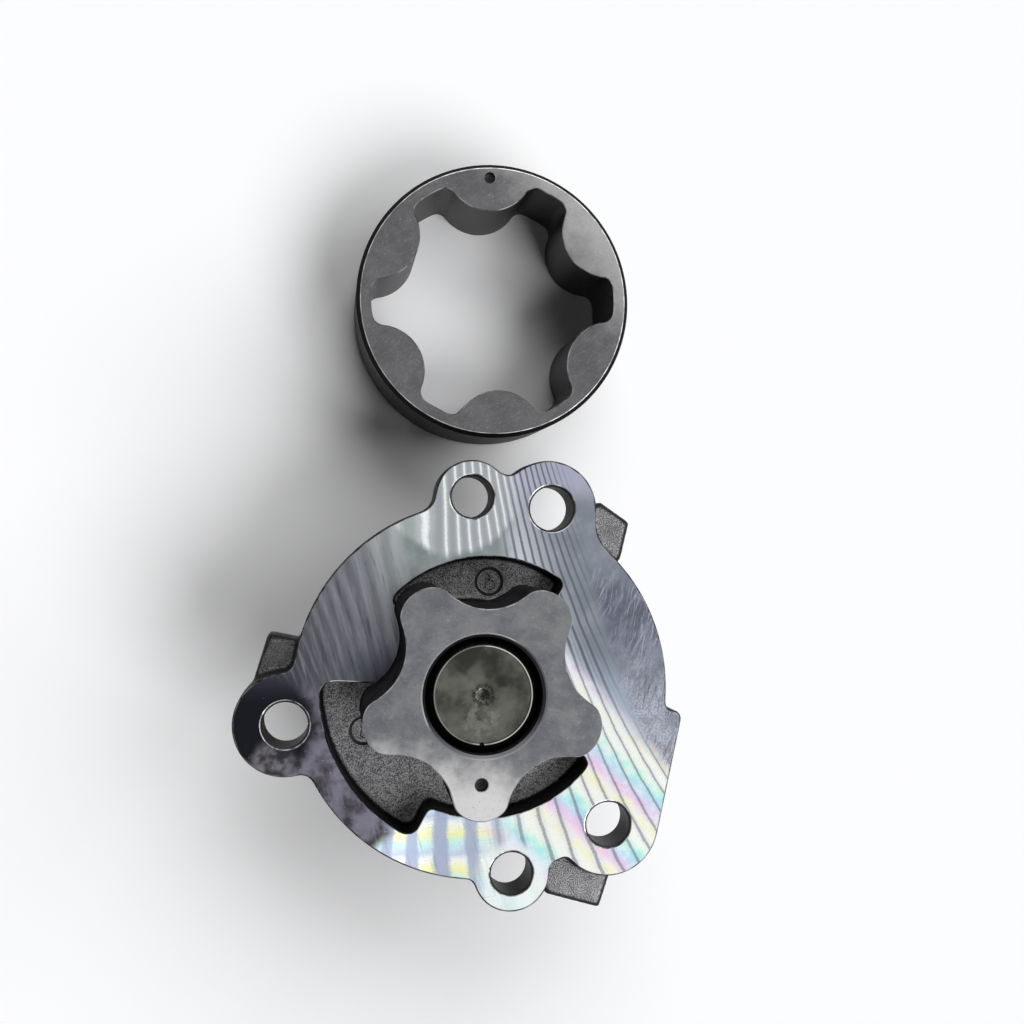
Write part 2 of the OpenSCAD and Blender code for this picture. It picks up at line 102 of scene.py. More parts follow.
# %% Write node trees as expressions
class Wire:
    """One output socket of a node tree, which can be used in sums."""

    def __init__(self, tree, socket):
        self.tree = tree
        self.socket = socket

    @staticmethod
    def make(tree, kind, settings=None, sockets=None, output=0):
        """A new node. Its settings go in first, then a value or a wire on each socket."""
        node = tree.nodes.new(kind)
        for name, value in (settings or {}).items():
            if name == "switch_items":
                while len(node.index_switch_items) < value:
                    node.index_switch_items.new()
            elif name == "stops":
                for _ in value[2:]:
                    node.color_ramp.elements.new(0.5)
                for element, (place, colour) in zip(node.color_ramp.elements, value):
                    element.position, element.color = place, colour
            else:
                setattr(node, name, value)
        for key, value in (sockets or {}).items():
            if isinstance(value, Wire):
                tree.links.new(value.socket, node.inputs[key])
            else:
                node.inputs[key].default_value = value
        return Wire(tree, node.outputs[output])

    @property
    def is_vector(self):
        return self.socket.type in ("VECTOR", "RGBA")

    def math(self, operation, *values):
        if any(isinstance(v, Wire) and v.is_vector for v in values):
            numbers = [v for v in values if not isinstance(v, Wire) or not v.is_vector]
            if operation == "MULTIPLY" and numbers and not isinstance(numbers[0], tuple):
                vectors = [v for v in values if isinstance(v, Wire) and v.is_vector]
                return Wire.make(self.tree, "ShaderNodeVectorMath", {"operation": "SCALE"},
                                 {0: vectors[0], 3: numbers[0]})
            kind = "ShaderNodeVectorMath"
        else:
            kind = "ShaderNodeMath"
        return Wire.make(self.tree, kind, {"operation": operation}, dict(enumerate(values)))

    def __add__(self, other): return self.math("ADD", self, other)
    def __radd__(self, other): return self.math("ADD", other, self)
    def __sub__(self, other): return self.math("SUBTRACT", self, other)
    def __rsub__(self, other): return self.math("SUBTRACT", other, self)
    def __mul__(self, other): return self.math("MULTIPLY", self, other)
    def __rmul__(self, other): return self.math("MULTIPLY", other, self)
    def __truediv__(self, other): return self.math("DIVIDE", self, other)
    def __neg__(self): return self * -1.0


def sine(a): return a.math("SINE", a)
def cosine(a): return a.math("COSINE", a)
def root(a): return a.math("SQRT", a)
def e_to(a): return a.math("EXPONENT", a)
def magnitude(a): return a.math("ABSOLUTE", a)
def whole(a): return a.math("FLOOR", a)
def fraction(a): return a.math("FRACT", a)
def lesser(a, b): return a.math("MINIMUM", a, b)
def greater(a, b): return a.math("MAXIMUM", a, b)
def clamped(a): return lesser(greater(a, 0.0), 1.0)


def vector(x, y, z):
    tree = next(v.tree for v in (x, y, z) if isinstance(v, Wire))
    return Wire.make(tree, "ShaderNodeCombineXYZ", {}, {0: x, 1: y, 2: z})


def components(v):
    node = Wire.make(v.tree, "ShaderNodeSeparateXYZ", {}, {0: v}).socket.node
    return [Wire(v.tree, socket) for socket in node.outputs]


print("node helpers ready")

# %% [markdown]
# Three parts of this pump are one closed ring of metal round an axis: both rotors and the drive
# gear. Each is a strip of quads that goes round the axis in one direction and
# round the metal's own section in the other, so one Geometry Nodes tree can lay them all
# out. A flat grid is the strip, and Set Position rolls it up. Only the rows differ from
# part to part: a trochoid, a lobed cavity, gear teeth or plain circles.

# %% A Geometry Nodes tree that rolls a grid up into a ring of metal
def ring_tree(name, sizes, columns, section):
    """A tree whose named inputs are sizes. section(size, turn) gives the rows of the metal's
    section in order, each an (x, y, z) in metres; turn goes from 0 to 1 round the axis."""
    tree = bpy.data.node_groups.new(name, "GeometryNodeTree")
    tree.interface.new_socket("Geometry", in_out="OUTPUT", socket_type="NodeSocketGeometry")
    for label in sizes:
        tree.interface.new_socket(label, in_out="INPUT", socket_type="NodeSocketFloat")
    tree.interface.new_socket("Finish", in_out="INPUT", socket_type="NodeSocketMaterial")
    group_input = tree.nodes.new("NodeGroupInput")
    size = {socket.name: Wire(tree, socket) for socket in group_input.outputs if socket.name}

    across, along, _ = components(Wire.make(tree, "GeometryNodeInputPosition"))
    rows = [vector(*row) for row in section(size, across + 0.5)]
    rows.append(rows[0])
    rows.reverse()  # so that the faces point out of the metal
    grid = Wire.make(tree, "GeometryNodeMeshGrid", {}, {
        "Size X": 1.0, "Size Y": 1.0, "Vertices X": columns + 1, "Vertices Y": len(rows)})
    row_number = (along + 0.5) * (len(rows) - 1.0)
    picked = Wire.make(
        tree, "GeometryNodeIndexSwitch", {"data_type": "VECTOR", "switch_items": len(rows)},
        {0: row_number.math("ROUND", row_number)} | {k + 1: row for k, row in enumerate(rows)})
    rolled = Wire.make(tree, "GeometryNodeSetPosition", {}, {"Geometry": grid, "Position": picked})
    closed = Wire.make(tree, "GeometryNodeMergeByDistance", {},
                       {"Geometry": rolled, "Distance": TOUCHING})
    return tree, size, closed


def end_tree(tree, size, geometry):
    """Ends a tree as the export needs it: no instances left, and its finish set."""
    real = Wire.make(tree, "GeometryNodeRealizeInstances", {}, {"Geometry": geometry})
    done = Wire.make(tree, "GeometryNodeSetMaterial", {},
                     {"Geometry": real, "Material": size["Finish"]})
    tree.links.new(done.socket, tree.nodes.new("NodeGroupOutput").inputs[0])
    return tree


print("ring tree ready")

# %% [markdown]
# A tree does nothing until an object carries it. `grow` hangs the tree on an empty mesh,
# asks Blender for the evaluated result and keeps that as a plain mesh, so that nothing
# live is left for the exporter. A rolled-up grid can come out inside out, so its normals
# are worked out again. Edges sharper than 30 degrees stay crisp and the rest are smooth,
# except round a flat top: there even a faint bevel would bend the whole face's reflection.

# %% Turn a modifier's result into a plain mesh
SHARP = math.radians(30)


def to_object(name, mesh):
    piece = bpy.data.objects.new(name, mesh)
    bpy.context.scene.collection.objects.link(piece)
    return piece


def settle(piece):
    """Applies all of a piece's modifiers."""
    bpy.context.view_layer.update()
    evaluated = piece.evaluated_get(bpy.context.evaluated_depsgraph_get())
    mesh = bpy.data.meshes.new_from_object(evaluated)
    piece.modifiers.clear()
    piece.data = mesh


def finish_shape(piece):
    """Turns a piece's faces outwards, and keeps its sharp edges and its flat top crisp."""
    bm = bmesh.new()
    bm.from_mesh(piece.data)
    bmesh.ops.recalc_face_normals(bm, faces=bm.faces)
    if bm.calc_volume(signed=True) < 0:
        bmesh.ops.reverse_faces(bm, faces=bm.faces)
    top = max(v.co.z for v in bm.verts)
    flat_top = {f for f in bm.faces if all(top - v.co.z < TOUCHING for v in f.verts)}
    for face in bm.faces:
        face.smooth = True
    for edge in bm.edges:
        sides = {face in flat_top for face in edge.link_faces}
        edge.smooth = edge.calc_face_angle(0.0) < SHARP and len(sides) == 1
    bm.to_mesh(piece.data)
    bm.free()
    print(piece.name, len(piece.data.polygons), "faces")


def grow(name, tree, sizes, finish):
    piece = to_object(name, bpy.data.meshes.new(name))
    modifier = piece.modifiers.new("ring", "NODES")
    modifier.node_group = tree
    for item in tree.interface.items_tree:
        if item.in_out == "INPUT":
            modifier[item.identifier] = finish if item.name == "Finish" else sizes[item.name]
    settle(piece)
    finish_shape(piece)
    return piece


print("mesh helpers ready")

# %% [markdown]
# A workshop takes metal away with cutters, and so does this script. A drill or a boring bar
# is a solid turned from its profile, and a keyway cutter is a plain block. The Boolean
# modifier's Manifold solver takes them out exactly and fast, as long as both meshes are
# closed.

# %% Cutters, and how to cut with them
def cut(piece, *cutters):
    """Cuts closed meshes out of a piece and removes them."""
    for cutter in cutters:
        modifier = piece.modifiers.new("cut", "BOOLEAN")
        modifier.solver = "MANIFOLD"
        modifier.object = cutter
    settle(piece)
    for cutter in cutters:
        bpy.data.objects.remove(cutter)


def turned(name, profile, centre=(0, 0), steps=96):
    """A solid turned from a profile of (radius, height) in millimetres, from the axis back
    to the axis."""
    bm = bmesh.new()
    rings = []
    for r, z in profile:
        turns = [2 * math.pi * k / steps for k in range(steps if r else 1)]
        rings.append([bm.verts.new((
            (centre[0] + r * math.cos(a)) * MM, (centre[1] + r * math.sin(a)) * MM, z * MM))
            for a in turns])
    for low, high in zip(rings, rings[1:]):
        for k in range(steps):
            corners = (low[k % len(low)], low[(k + 1) % len(low)],
                       high[(k + 1) % len(high)], high[k % len(high)])
            corners = list(dict.fromkeys(corners))
            if len(corners) > 2:
                bm.faces.new(corners)
    bmesh.ops.recalc_face_normals(bm, faces=bm.faces)
    mesh = bpy.data.meshes.new(name)
    bm.to_mesh(mesh)
    bm.free()
    return to_object(name, mesh)


def block(low, high):
    """A box between two corners, in metres."""
    bm = bmesh.new()
    bmesh.ops.create_cube(bm, size=1.0)
    for vert in bm.verts:
        vert.co = Vector([(a + b) / 2 + v * (b - a) for a, b, v in zip(low, high, vert.co)])
    mesh = bpy.data.meshes.new("block")
    bm.to_mesh(mesh)
    bm.free()
    return to_object("block", mesh)


print("cutters ready")

# %% [markdown]
# Each finished piece stands in for one CAD node, which is then hidden. It rides on the same
# moving body as that node did, so the rotors still turn.

# %% Hand a piece over to the frame
def place_on(piece, body, node):
    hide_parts(node)
    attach(piece, body)
    print(piece.name, "stands in for", node)

# %% [markdown]
# A finish is a node material whose pattern is drawn in millimetres on the piece itself.
# `Object` coordinates do that without unwrapping anything, and they stay put when the
# piece turns. The helpers below are the few patterns that every finish here is made of.

# %% Helpers for finishes
def tint(red, green, blue):
    """A colour as a screen shows it, from 0 to 1, as the linear values that nodes use."""
    return tuple(c / 12.92 if c <= 0.04045 else ((c + 0.055) / 1.055) ** 2.4
                 for c in (red, green, blue)) + (1.0,)


def grey(value, blue=0.0):
    return tint(value, value, value + blue)


def new_finish(name):
    """A new material with its tree and the place on the piece, in millimetres."""
    material = bpy.data.materials.new(name)
    material.use_nodes = True
    tree = material.node_tree
    place = Wire.make(tree, "ShaderNodeTexCoord", output="Object") * 1000.0
    return material, tree, place


def set_shader(tree, values):
    """Puts a value or a link on sockets of the material's own shader."""
    shader = tree.nodes["Principled BSDF"]
    for name, value in values.items():
        if isinstance(value, Wire):
            tree.links.new(value.socket, shader.inputs[name])
        else:
            shader.inputs[name].default_value = value


def noise(place, size, detail=2.0, roughness=0.5, seed=0.0):
    """Soft blobs about size millimetres across, from 0 to 1."""
    return Wire.make(place.tree, "ShaderNodeTexNoise", {"noise_dimensions": "4D"}, {
        "Vector": place, "W": seed, "Scale": 1.0 / size, "Detail": detail, "Roughness": roughness})


def step(value, low, high):
    """0 below low, 1 above high, and a smooth rise between them; falls if high is less."""
    flip = high < low
    rise = Wire.make(value.tree, "ShaderNodeMapRange", {"interpolation_type": "SMOOTHSTEP"},
                     {0: value, 1: min(low, high), 2: max(low, high)})
    return 1.0 - rise if flip else rise


def blend(mask, colour, over):
    """colour where mask is 0 and over where it is 1."""
    return Wire.make(mask.tree, "ShaderNodeMix", {"data_type": "RGBA"},
                     {0: mask, 6: colour, 7: over}, output=2)


def bump(height):
    """A normal from a height in millimetres."""
    return Wire.make(height.tree, "ShaderNodeBump", {},
                     {"Height": height, "Distance": MM, "Strength": 1.0})


def distance_to(x, y, centre):
    return root((x - centre[0]) * (x - centre[0]) + (y - centre[1]) * (y - centre[1]))


print("finish helpers ready")

# %% [markdown]
# The housing is grey cast iron. Its skin is a fine sand grain, nearly black with oil in the
# hollows and rubbed grey on the grains that stand proud. Height alone would hardly show,
# because a plain white room looks the same from every slope of a grain, so the same noise
# also gives the colour. The walls of the ports and the edges of the lugs are painted dark, as
# painted shade. The skin is painted lighter towards the right and towards the bottom, and the
# port floors lighter still, as painted light.

# %% Finish: cast iron skin
def cast_skin_finish():
    material, tree, place = new_finish("cast_skin")
    x, y, z = components(place)
    facing_up = components(Wire.make(tree, "ShaderNodeTexCoord", output="Normal"))[2]
    grain = noise(place, 0.20, 1.0, 0.5)
    coarse = noise(place, 1.8, 2.0, 0.5, 3.0)
    proud = step(grain + (coarse - 0.5) * 0.2, 0.38, 0.64)
    level = blend(proud, grey(0.25, 0.005), grey(0.50, 0.005))
    # Painted light: the skin grows lighter to the right and towards the bottom, and the port
    # floors lighter still.
    level = level * (0.98 + x * 0.009 - y * 0.004 + step(z, -5.0, -7.0) * 0.40)
    # Painted shade: the walls of the ports and the rounded edges of the lugs are painted dark.
    wall = blend(proud, grey(0.03, 0.005), grey(0.17, 0.01))
    below = blend(proud, grey(0.15, 0.005), grey(0.40, 0.01)) * (0.8 + coarse * 0.5)
    wall = blend(step(z, -8.5, -10.5), wall, below)
    set_shader(tree, {
        "Base Color": blend(step(facing_up, 0.80, 0.985), wall, level), "Metallic": 0.5,
        "Roughness": 0.62 - proud * 0.2, "Specular IOR Level": 0.15,
        "Normal": bump(grain * 0.10 + coarse * 0.10)})
    return material


cast_skin = cast_skin_finish()
print(cast_skin.name, "nodes:", len(cast_skin.node_tree.nodes))

# %% [markdown]
# The mounting face was milled by a wide cutter, and every tooth left a long shallow curve.
# All the curves belong to one family: they stand upright near x = -7 mm and lean over
# more and more to both sides. `tool_marks` counts them, so that a whole number more is the
# next curve, and one cosine of that count shades every one of them.

# %% The family of tool marks
UPRIGHT_X = -7.0
FLANGE_CENTRE = (3.3, -1.2)


def tool_marks(place):
    """How many tool marks lie between a place and the upright line."""
    x, y, _ = components(place)
    right = x.math("GREATER_THAN", x, UPRIGHT_X)
    fan = y * 0.0133 - greater(y, 0.0) * (1.0 - right) * 0.030
    off = (x - UPRIGHT_X) * e_to(fan)
    crowding = 0.0077 - right * 0.0042
    wander = noise(place, 9.0, 1.0) * 0.30 + noise(place, 2.2, 2.0, 0.5, 4.0) * 0.14
    return off * 0.234 + off * magnitude(off) * crowding + wander + 0.61


def marks_shade(count):
    """1 in the dark middle of a mark and 0 half way to the next one."""
    return 0.5 + 0.5 * cosine(count * (2 * math.pi))


def stretched(place, turn, scale):
    """The place turned by turn degrees and then squeezed, which combs a noise."""
    return Wire.make(place.tree, "ShaderNodeMapping", {"vector_type": "TEXTURE"}, {
        "Vector": place, "Rotation": (0.0, 0.0, math.radians(turn)),
        "Scale": tuple(1.0 / s for s in scale)})


def wavering(place, size, reach):
    """A sideways push of up to reach millimetres, which bends a pattern."""
    push = [(noise(place, size, 2.0, 0.5, seed) - 0.5) * (2.0 * reach) for seed in (31.0, 32.0)]
    return vector(push[0], push[1], 0.0)


def face_patterns(place):
    """The patterns that all looks of the milled face share."""
    x, y, _ = components(place)
    speck = noise(place, 0.32, 2.0, 0.7, 2.0)
    count = tool_marks(place)
    return SimpleNamespace(
        place=place, x=x, y=y, marks=marks_shade(count), fine_marks=marks_shade(count * 2.0),
        speck=speck, grain=speck - 0.5, cloud=noise(place, 5.0, 3.0, 0.6, 1.0),
        brushed=noise(stretched(place, 14, (1.0, 0.09, 1.0)), 0.8, 3.0, 0.65, 12.0))


print("tool marks ready")

# %% [markdown]
# What the marks look like changes over the face, because each part of it mirrors another
# part of the room. So the finish mixes five looks, and each look is written as it appears.
# On the left the face mirrors something dark: soft streaks that lighten towards the top,
# a painted shadow beside the rotor, and a dark rim with a paler strip along the port.

# %% Looks of the milled face: left side and left rim
def left_look(face):
    rise = face.x + face.y * 0.4
    colour = blend(step(rise, -38.0, -17.0), tint(0.24, 0.24, 0.27), tint(0.43, 0.435, 0.465))
    colour = blend(step(rise, -17.0, -4.0), colour, tint(0.60, 0.62, 0.625))
    colour = blend(step(face.marks + face.grain * 0.5, 0.2, 1.0) * 0.32, colour,
                   tint(0.24, 0.24, 0.27))
    colour = blend(step(face.marks + face.grain * 0.5, 0.35, -0.1) * 0.08, colour,
                   tint(0.70, 0.70, 0.72))
    colour = blend(step(face.brushed, 0.50, 0.74) * 0.28, colour, tint(0.66, 0.66, 0.69))
    # Painted shadow of the rotor on the face beside it.
    painted_rotor_shadow = step(distance_to(face.x, face.y, (-20.0, 1.5)) + (face.cloud - 0.5) * 5.0, 9.0, 2.0)
    colour = blend(painted_rotor_shadow * 0.55, colour, tint(0.27, 0.28, 0.33))
    return blend(step(face.brushed, 0.47, 0.32) * 0.55, colour, tint(0.20, 0.20, 0.22))


def rim_look(face):
    dark = blend(step(face.cloud, 0.38, 0.62), tint(0.22, 0.21, 0.23), tint(0.42, 0.41, 0.46))
    dark = blend(step(face.brushed, 0.52, 0.66) * 0.3, dark, tint(0.46, 0.45, 0.50))
    strip = step(distance_to(face.x, face.y, FLANGE_CENTRE) + face.grain * 1.5, 33.0, 29.0)
    pale = blend(step(face.y, -6.0, -28.0), tint(0.36, 0.36, 0.42), tint(0.58, 0.58, 0.70))
    return blend(strip, dark, pale)


def boss_look(face):
    """The ear at the far left: almost black, with one greyish patch below its hole."""
    patch = step(distance_to(face.x, face.y, (-39.5, -15.5)) + (face.cloud - 0.5) * 4.0, 5.5, 3.0)
    grey_patch = blend(step(face.cloud, 0.42, 0.6), tint(0.18, 0.18, 0.20), tint(0.42, 0.41, 0.43))
    above = blend(step(face.y, -4.0, 3.0), tint(0.10, 0.10, 0.125), tint(0.20, 0.20, 0.24))
    return blend(patch, above, grey_patch)


print("left looks ready")

# %% [markdown]
# At the top the edges of the marks glint, and the glints stop short of the port on a
# ragged arc. On the right the same marks are dark lines on silver, which turns into plain
# grey as they fade, and furthest right the face has been rubbed and scratched.

# %% Looks of the milled face: top, right and rubbed
def top_look(face):
    light = 1.0 - face.marks + face.grain * 0.22
    plain = blend(step(face.cloud, 0.3, 0.7), tint(0.47, 0.51, 0.515), tint(0.55, 0.585, 0.59))
    striped = blend(step(face.x, -16.0, 2.0), tint(0.58, 0.62, 0.61), tint(0.63, 0.64, 0.66))
    striped = blend(step(light, 0.1, 0.8) * 0.55, striped, tint(0.74, 0.76, 0.77))
    striped = blend(step(light, 0.76, 1.04) * 0.9, striped, tint(0.93, 0.95, 0.95))
    stop = 25.2 + (face.x + 4.0) * (face.x + 4.0) * 0.045
    return blend(step(face.y - stop + (face.cloud - 0.5) * 3.0, -0.8, 1.4), plain, striped)


def right_look(face):
    fade = face.x + face.y * 0.3
    colour = blend(step(fade, 14.0, 28.0), tint(0.81, 0.83, 0.86), tint(0.48, 0.51, 0.545))
    colour = blend(step(face.y, 8.0, -6.0) * 0.85, colour, tint(0.65, 0.70, 0.77))
    colour = blend(step(face.cloud, 0.35, 0.75) * 0.3, colour, tint(0.70, 0.715, 0.76))
    colour = blend(step(face.y, 35.0, 41.0) * 0.6, colour, tint(0.73, 0.73, 0.82))
    inside = step(face.x + face.y * 0.25, 32.0, 25.0)
    fine = step(face.fine_marks + face.grain * 0.4, 0.5, 1.1) * step(face.y, 16.0, 4.0)
    colour = blend(fine * inside * 0.4, colour, tint(0.40, 0.43, 0.49))
    lines = step(face.marks + face.grain * 0.2, 0.56, 1.0)
    return blend(lines * inside * 0.88, colour, tint(0.35, 0.37, 0.415))


def rubbed_look(face):
    low = step(face.y + (face.cloud - 0.5) * 6.0, 12.0, -8.0)
    dark = blend(low, tint(0.37, 0.38, 0.43), tint(0.58, 0.595, 0.64))
    light = blend(low, tint(0.49, 0.51, 0.57), tint(0.72, 0.735, 0.79))
    colour = blend(step(face.cloud, 0.32, 0.62), dark, light)
    for turn, seed in ((-9, 5.0), (-27, 6.0)):
        combed = noise(stretched(face.place, turn, (2.0, 0.12, 1.0)), 0.8, 4.0, 0.75, seed)
        there = step(noise(face.place, 6.0, 1.0, 0.5, seed + 8.0), 0.38, 0.54)
        colour = blend(step(combed, 0.47, 0.36) * there * 0.6, colour, tint(0.32, 0.33, 0.38))
        colour = blend(step(combed, 0.52, 0.66) * there * 0.65, colour, tint(0.72, 0.74, 0.80))
    curls = noise(face.place + wavering(face.place, 0.9, 0.7), 0.7, 3.0, 0.6, 21.0)
    curled = step(magnitude(curls - 0.5), 0.06, 0.015) * (0.15 + low * 0.3)
    colour = blend(curled, colour, tint(0.34, 0.35, 0.40))
    return blend(step(face.speck, 0.60, 0.74) * 0.5, colour, tint(0.28, 0.28, 0.33))


print("top, right and rubbed looks ready")

# %% [markdown]
# Lower down, a film of oil breaks the light into pastel colours. On the left of that part the
# colours lie in level bands without pink, and the tool marks cross them as wide slate
# stripes. Towards the right the bands tilt, break up into patches, and the marks get thin.
# Round the bottom hole the face is nearly bare.

# %% Look of the milled face: oil film
FILM = [
    (0.0, tint(0.95, 0.95, 0.90)), (0.06, tint(0.95, 0.94, 0.76)), (0.17, tint(0.95, 0.94, 0.86)),
    (0.30, tint(0.93, 0.76, 0.90)), (0.42, tint(0.80, 0.81, 0.93)), (0.56, tint(0.62, 0.89, 0.93)),
    (0.68, tint(0.76, 0.95, 0.87)), (0.80, tint(0.94, 0.96, 0.92)), (1.0, tint(0.95, 0.95, 0.90))]
LEVEL_FILM = [
    (0.0, tint(0.95, 0.94, 0.62)), (0.16, tint(0.95, 0.95, 0.82)), (0.32, tint(0.93, 0.95, 0.95)),
    (0.50, tint(0.72, 0.77, 0.86)), (0.66, tint(0.74, 0.88, 0.92)), (0.84, tint(0.79, 0.94, 0.86)),
    (1.0, tint(0.95, 0.94, 0.62))]
BOTTOM_HOLE = [v / MM for v in mounts["bottom_bolt_hole"]["pos_m"]]


def film_look(face):
    slanted = step(face.x, -2.0, 12.0)
    height = (face.x * 0.66 + face.y * 0.75) / 12.0
    mottle = noise(face.place, 3.0, 3.0, 0.6, 9.0)
    film = [Wire.make(face.place.tree, "ShaderNodeValToRGB", {"stops": stops}, {0: fraction(at)})
            for stops, at in ((LEVEL_FILM, face.y / 7.3 + face.cloud * 0.35 + 0.05),
                              (FILM, height + face.cloud * 0.2 + mottle * 0.4 - 0.3))]
    colour = blend(slanted, film[0], film[1])
    pale = (0.10 + step(mottle, 0.42, 0.64) * (0.2 + slanted * 0.35)
            + step(face.y, -18.0, -7.0) * 0.35)
    colour = blend(clamped(pale), colour, tint(0.92, 0.94, 0.95))
    bare = step(distance_to(face.x, face.y + 1.0, BOTTOM_HOLE), 8.5, 6.0)
    colour = blend(bare * 0.7, colour, tint(0.91, 0.96, 0.96))
    wide = step(face.marks + face.grain * 0.5, 0.28, 0.80)
    thin = step(face.marks + face.grain * 0.2, 0.86, 1.0)
    colour = blend(wide * (0.95 - slanted * 0.78) * (1.0 - bare * 0.6), colour,
                   tint(0.65, 0.69, 0.79))
    colour = blend(thin * slanted * (1.0 - bare) * 0.65, colour, tint(0.40, 0.42, 0.48))
    across = noise(stretched(face.place, 4, (0.12, 2.4, 1.0)), 0.7, 3.0, 0.65, 41.0)
    for scratched in (step(face.brushed, 0.46, 0.34), step(across, 0.56, 0.70)):
        colour = blend(scratched * (1.0 - slanted) * 0.4, colour, tint(0.50, 0.56, 0.62))
    return blend(step(face.speck, 0.58, 0.76) * 0.4, colour, tint(0.50, 0.52, 0.60))


print("oil film look ready")

# %% [markdown]
# Soft masks say where each look is. They are plain sums of x and y, made ragged by the
# cloud noise so that no border is a ruled line.

# %% Finish: milled mounting face
def milled_face_finish():
    material, tree, place = new_finish("milled_face")
    face = face_patterns(place)
    x, y, ragged = face.x, face.y, (face.cloud - 0.5) * 5.0
    is_top = step(y + ragged * 0.3, 19.0, 25.0) * step(x, -17.0, -11.0)
    is_right = step(x + ragged * 0.5, 5.0, 11.0)
    lean = 0.3 + 0.12 * y.math("LESS_THAN", y, 0.0)
    is_rubbed = step(x + y * lean + ragged * 0.6, 29.6, 32.0) * step(y, 27.0, 15.0)
    is_rim = step(y + ragged * 0.3, 1.5, -4.0) * step(x, -14.0, -18.5)
    is_boss = step(distance_to(x, y, (-41.5, -8.0)) + ragged * 0.3, 12.0, 8.5)
    is_lower_right = step(x * 0.743 + y * 0.669 + ragged * 0.6, 20.5, 16.0) * step(x, 7.0, 11.0)
    is_bottom = step(y, -20.0, -24.0) * step(
        x - lesser(y, -30.0) * 1.1 + ragged * 0.4, 14.8, 19.0)
    colour = blend(is_top, left_look(face), top_look(face))
    colour = blend(is_right, colour, right_look(face))
    colour = blend(is_rubbed, colour, rubbed_look(face))
    colour = blend(is_rim, colour, rim_look(face))
    colour = blend(is_boss, colour, boss_look(face))
    colour = blend(greater(is_lower_right, is_bottom), colour, film_look(face))
    # Painted sparkles: white specks of light on the left rim.
    painted_sparkles = step(noise(place, 0.5, 1.0, 0.5, 11.0), 0.74, 0.80) * is_rim
    colour = blend(painted_sparkles, colour, tint(0.85, 0.85, 0.85))
    lift = face.marks * 0.008 + face.speck * 0.002 + face.brushed * 0.002
    set_shader(tree, {
        "Base Color": colour, "Metallic": 1.0,
        "Roughness": 0.07 + face.cloud * 0.06 + step(x, -4.0, -14.0) * 0.22,
        "Normal": bump(lift)})
    return material


milled_face = milled_face_finish()
print(milled_face.name, "nodes:", len(milled_face.node_tree.nodes))

# %% [markdown]
# Where a milled or ground face ends, its edge is rubbed bright. The meshes have a narrow
# strip there for this lighter steel. The drilled holes and the seats behind the flange are
# machined too, and they are painted nearly black, as painted shade.

# %% Finishes: bright edges and drilled holes
FEED = 0.35  # millimetres that the tool moves on in one turn


def machined_finish(name, dark, light, roughness, metallic=1.0):
    material, tree, place = new_finish(name)
    z = components(place)[2]
    feed = 0.5 + 0.5 * sine(z * (2 * math.pi / FEED))
    wear_and_sheen = noise(place, 2.5, 3.0, 0.6)
    set_shader(tree, {
        "Base Color": blend(step(wear_and_sheen, 0.35, 0.65), dark, light), "Metallic": metallic,
        "Roughness": roughness + wear_and_sheen * 0.15, "Normal": bump(feed * 0.01 + wear_and_sheen * 0.02)})
    return material


bright_edge = machined_finish("bright_edge", grey(0.26, 0.01), grey(0.74), 0.2)
dull_edge = machined_finish("dull_edge", grey(0.07, 0.01), grey(0.42), 0.3)
rotor_edge = machined_finish("rotor_edge", grey(0.42, 0.01), grey(0.70), 0.25)
lobe_edge = machined_finish("lobe_edge", grey(0.36, 0.01), grey(0.60), 0.25)
# The drilled finish is painted nearly black, as painted shade in the holes.
drilled = machined_finish("drilled", grey(0.06, 0.01), grey(0.16, 0.01), 0.45, 0.4)
print("finishes:", bright_edge.name, dull_edge.name, rotor_edge.name, lobe_edge.name,
      drilled.name)

# %% [markdown]
# Both rotors are sintered steel, ground flat on their ends. Grinding leaves very fine
# scratches, and wiping them with an oily cloth leaves thin wavy lines. Each face has one
# side that mirrors a lamp: the dotted lobe of the inner rotor and the upper right of the
# ring. Their sides are as the tool left them, smooth and dark. The camera sees the inner
# rotor's flank at a glancing angle, where even a weak gloss would turn it pale, so the flank
# gets none.

# %% Finishes: ground steel
def ground_finish(name, dark, light, turn, gleam=None):
    """gleam is (direction in degrees, start and end in millimetres, colour)."""
    material, tree, place = new_finish(name)
    x, y, _ = components(place)
    scratches = noise(stretched(place, turn, (0.10, 1.5, 1.0)), 0.5, 4.0, 0.7)
    clouds = noise(place, 4.5, 3.0, 0.6, 2.0)
    wiped = noise(stretched(place, turn, (0.35, 1.0, 1.0)), 1.6, 4.0, 0.65, 3.0)
    wavy = step(magnitude(wiped - 0.5), 0.02, 0.004)
    flecks = noise(place, 0.4, 2.0, 0.7, 5.0)
    colour = blend(step(clouds, 0.32, 0.68), dark, light)
    if gleam:
        direction, start, end, gleam_colour = gleam
        a = math.radians(direction)
        along = x * math.cos(a) + y * math.sin(a) + (clouds - 0.5) * 8.0
        colour = blend(step(along, start, end), colour, gleam_colour)
    colour = blend(step(scratches, 0.50, 0.72) * 0.10, colour, grey(0.66, 0.01))
    colour = blend(wavy * 0.07, colour, grey(0.66, 0.01))
    colour = blend(step(flecks, 0.56, 0.76) * 0.3, colour, grey(0.20, 0.01))
    colour = blend(step(flecks, 0.42, 0.26) * 0.2, colour, grey(0.80))
    set_shader(tree, {
        "Base Color": colour, "Metallic": 1.0, "Roughness": 0.12 + clouds * 0.10,
        "Normal": bump(scratches * 0.004 + flecks * 0.003)})
    return material


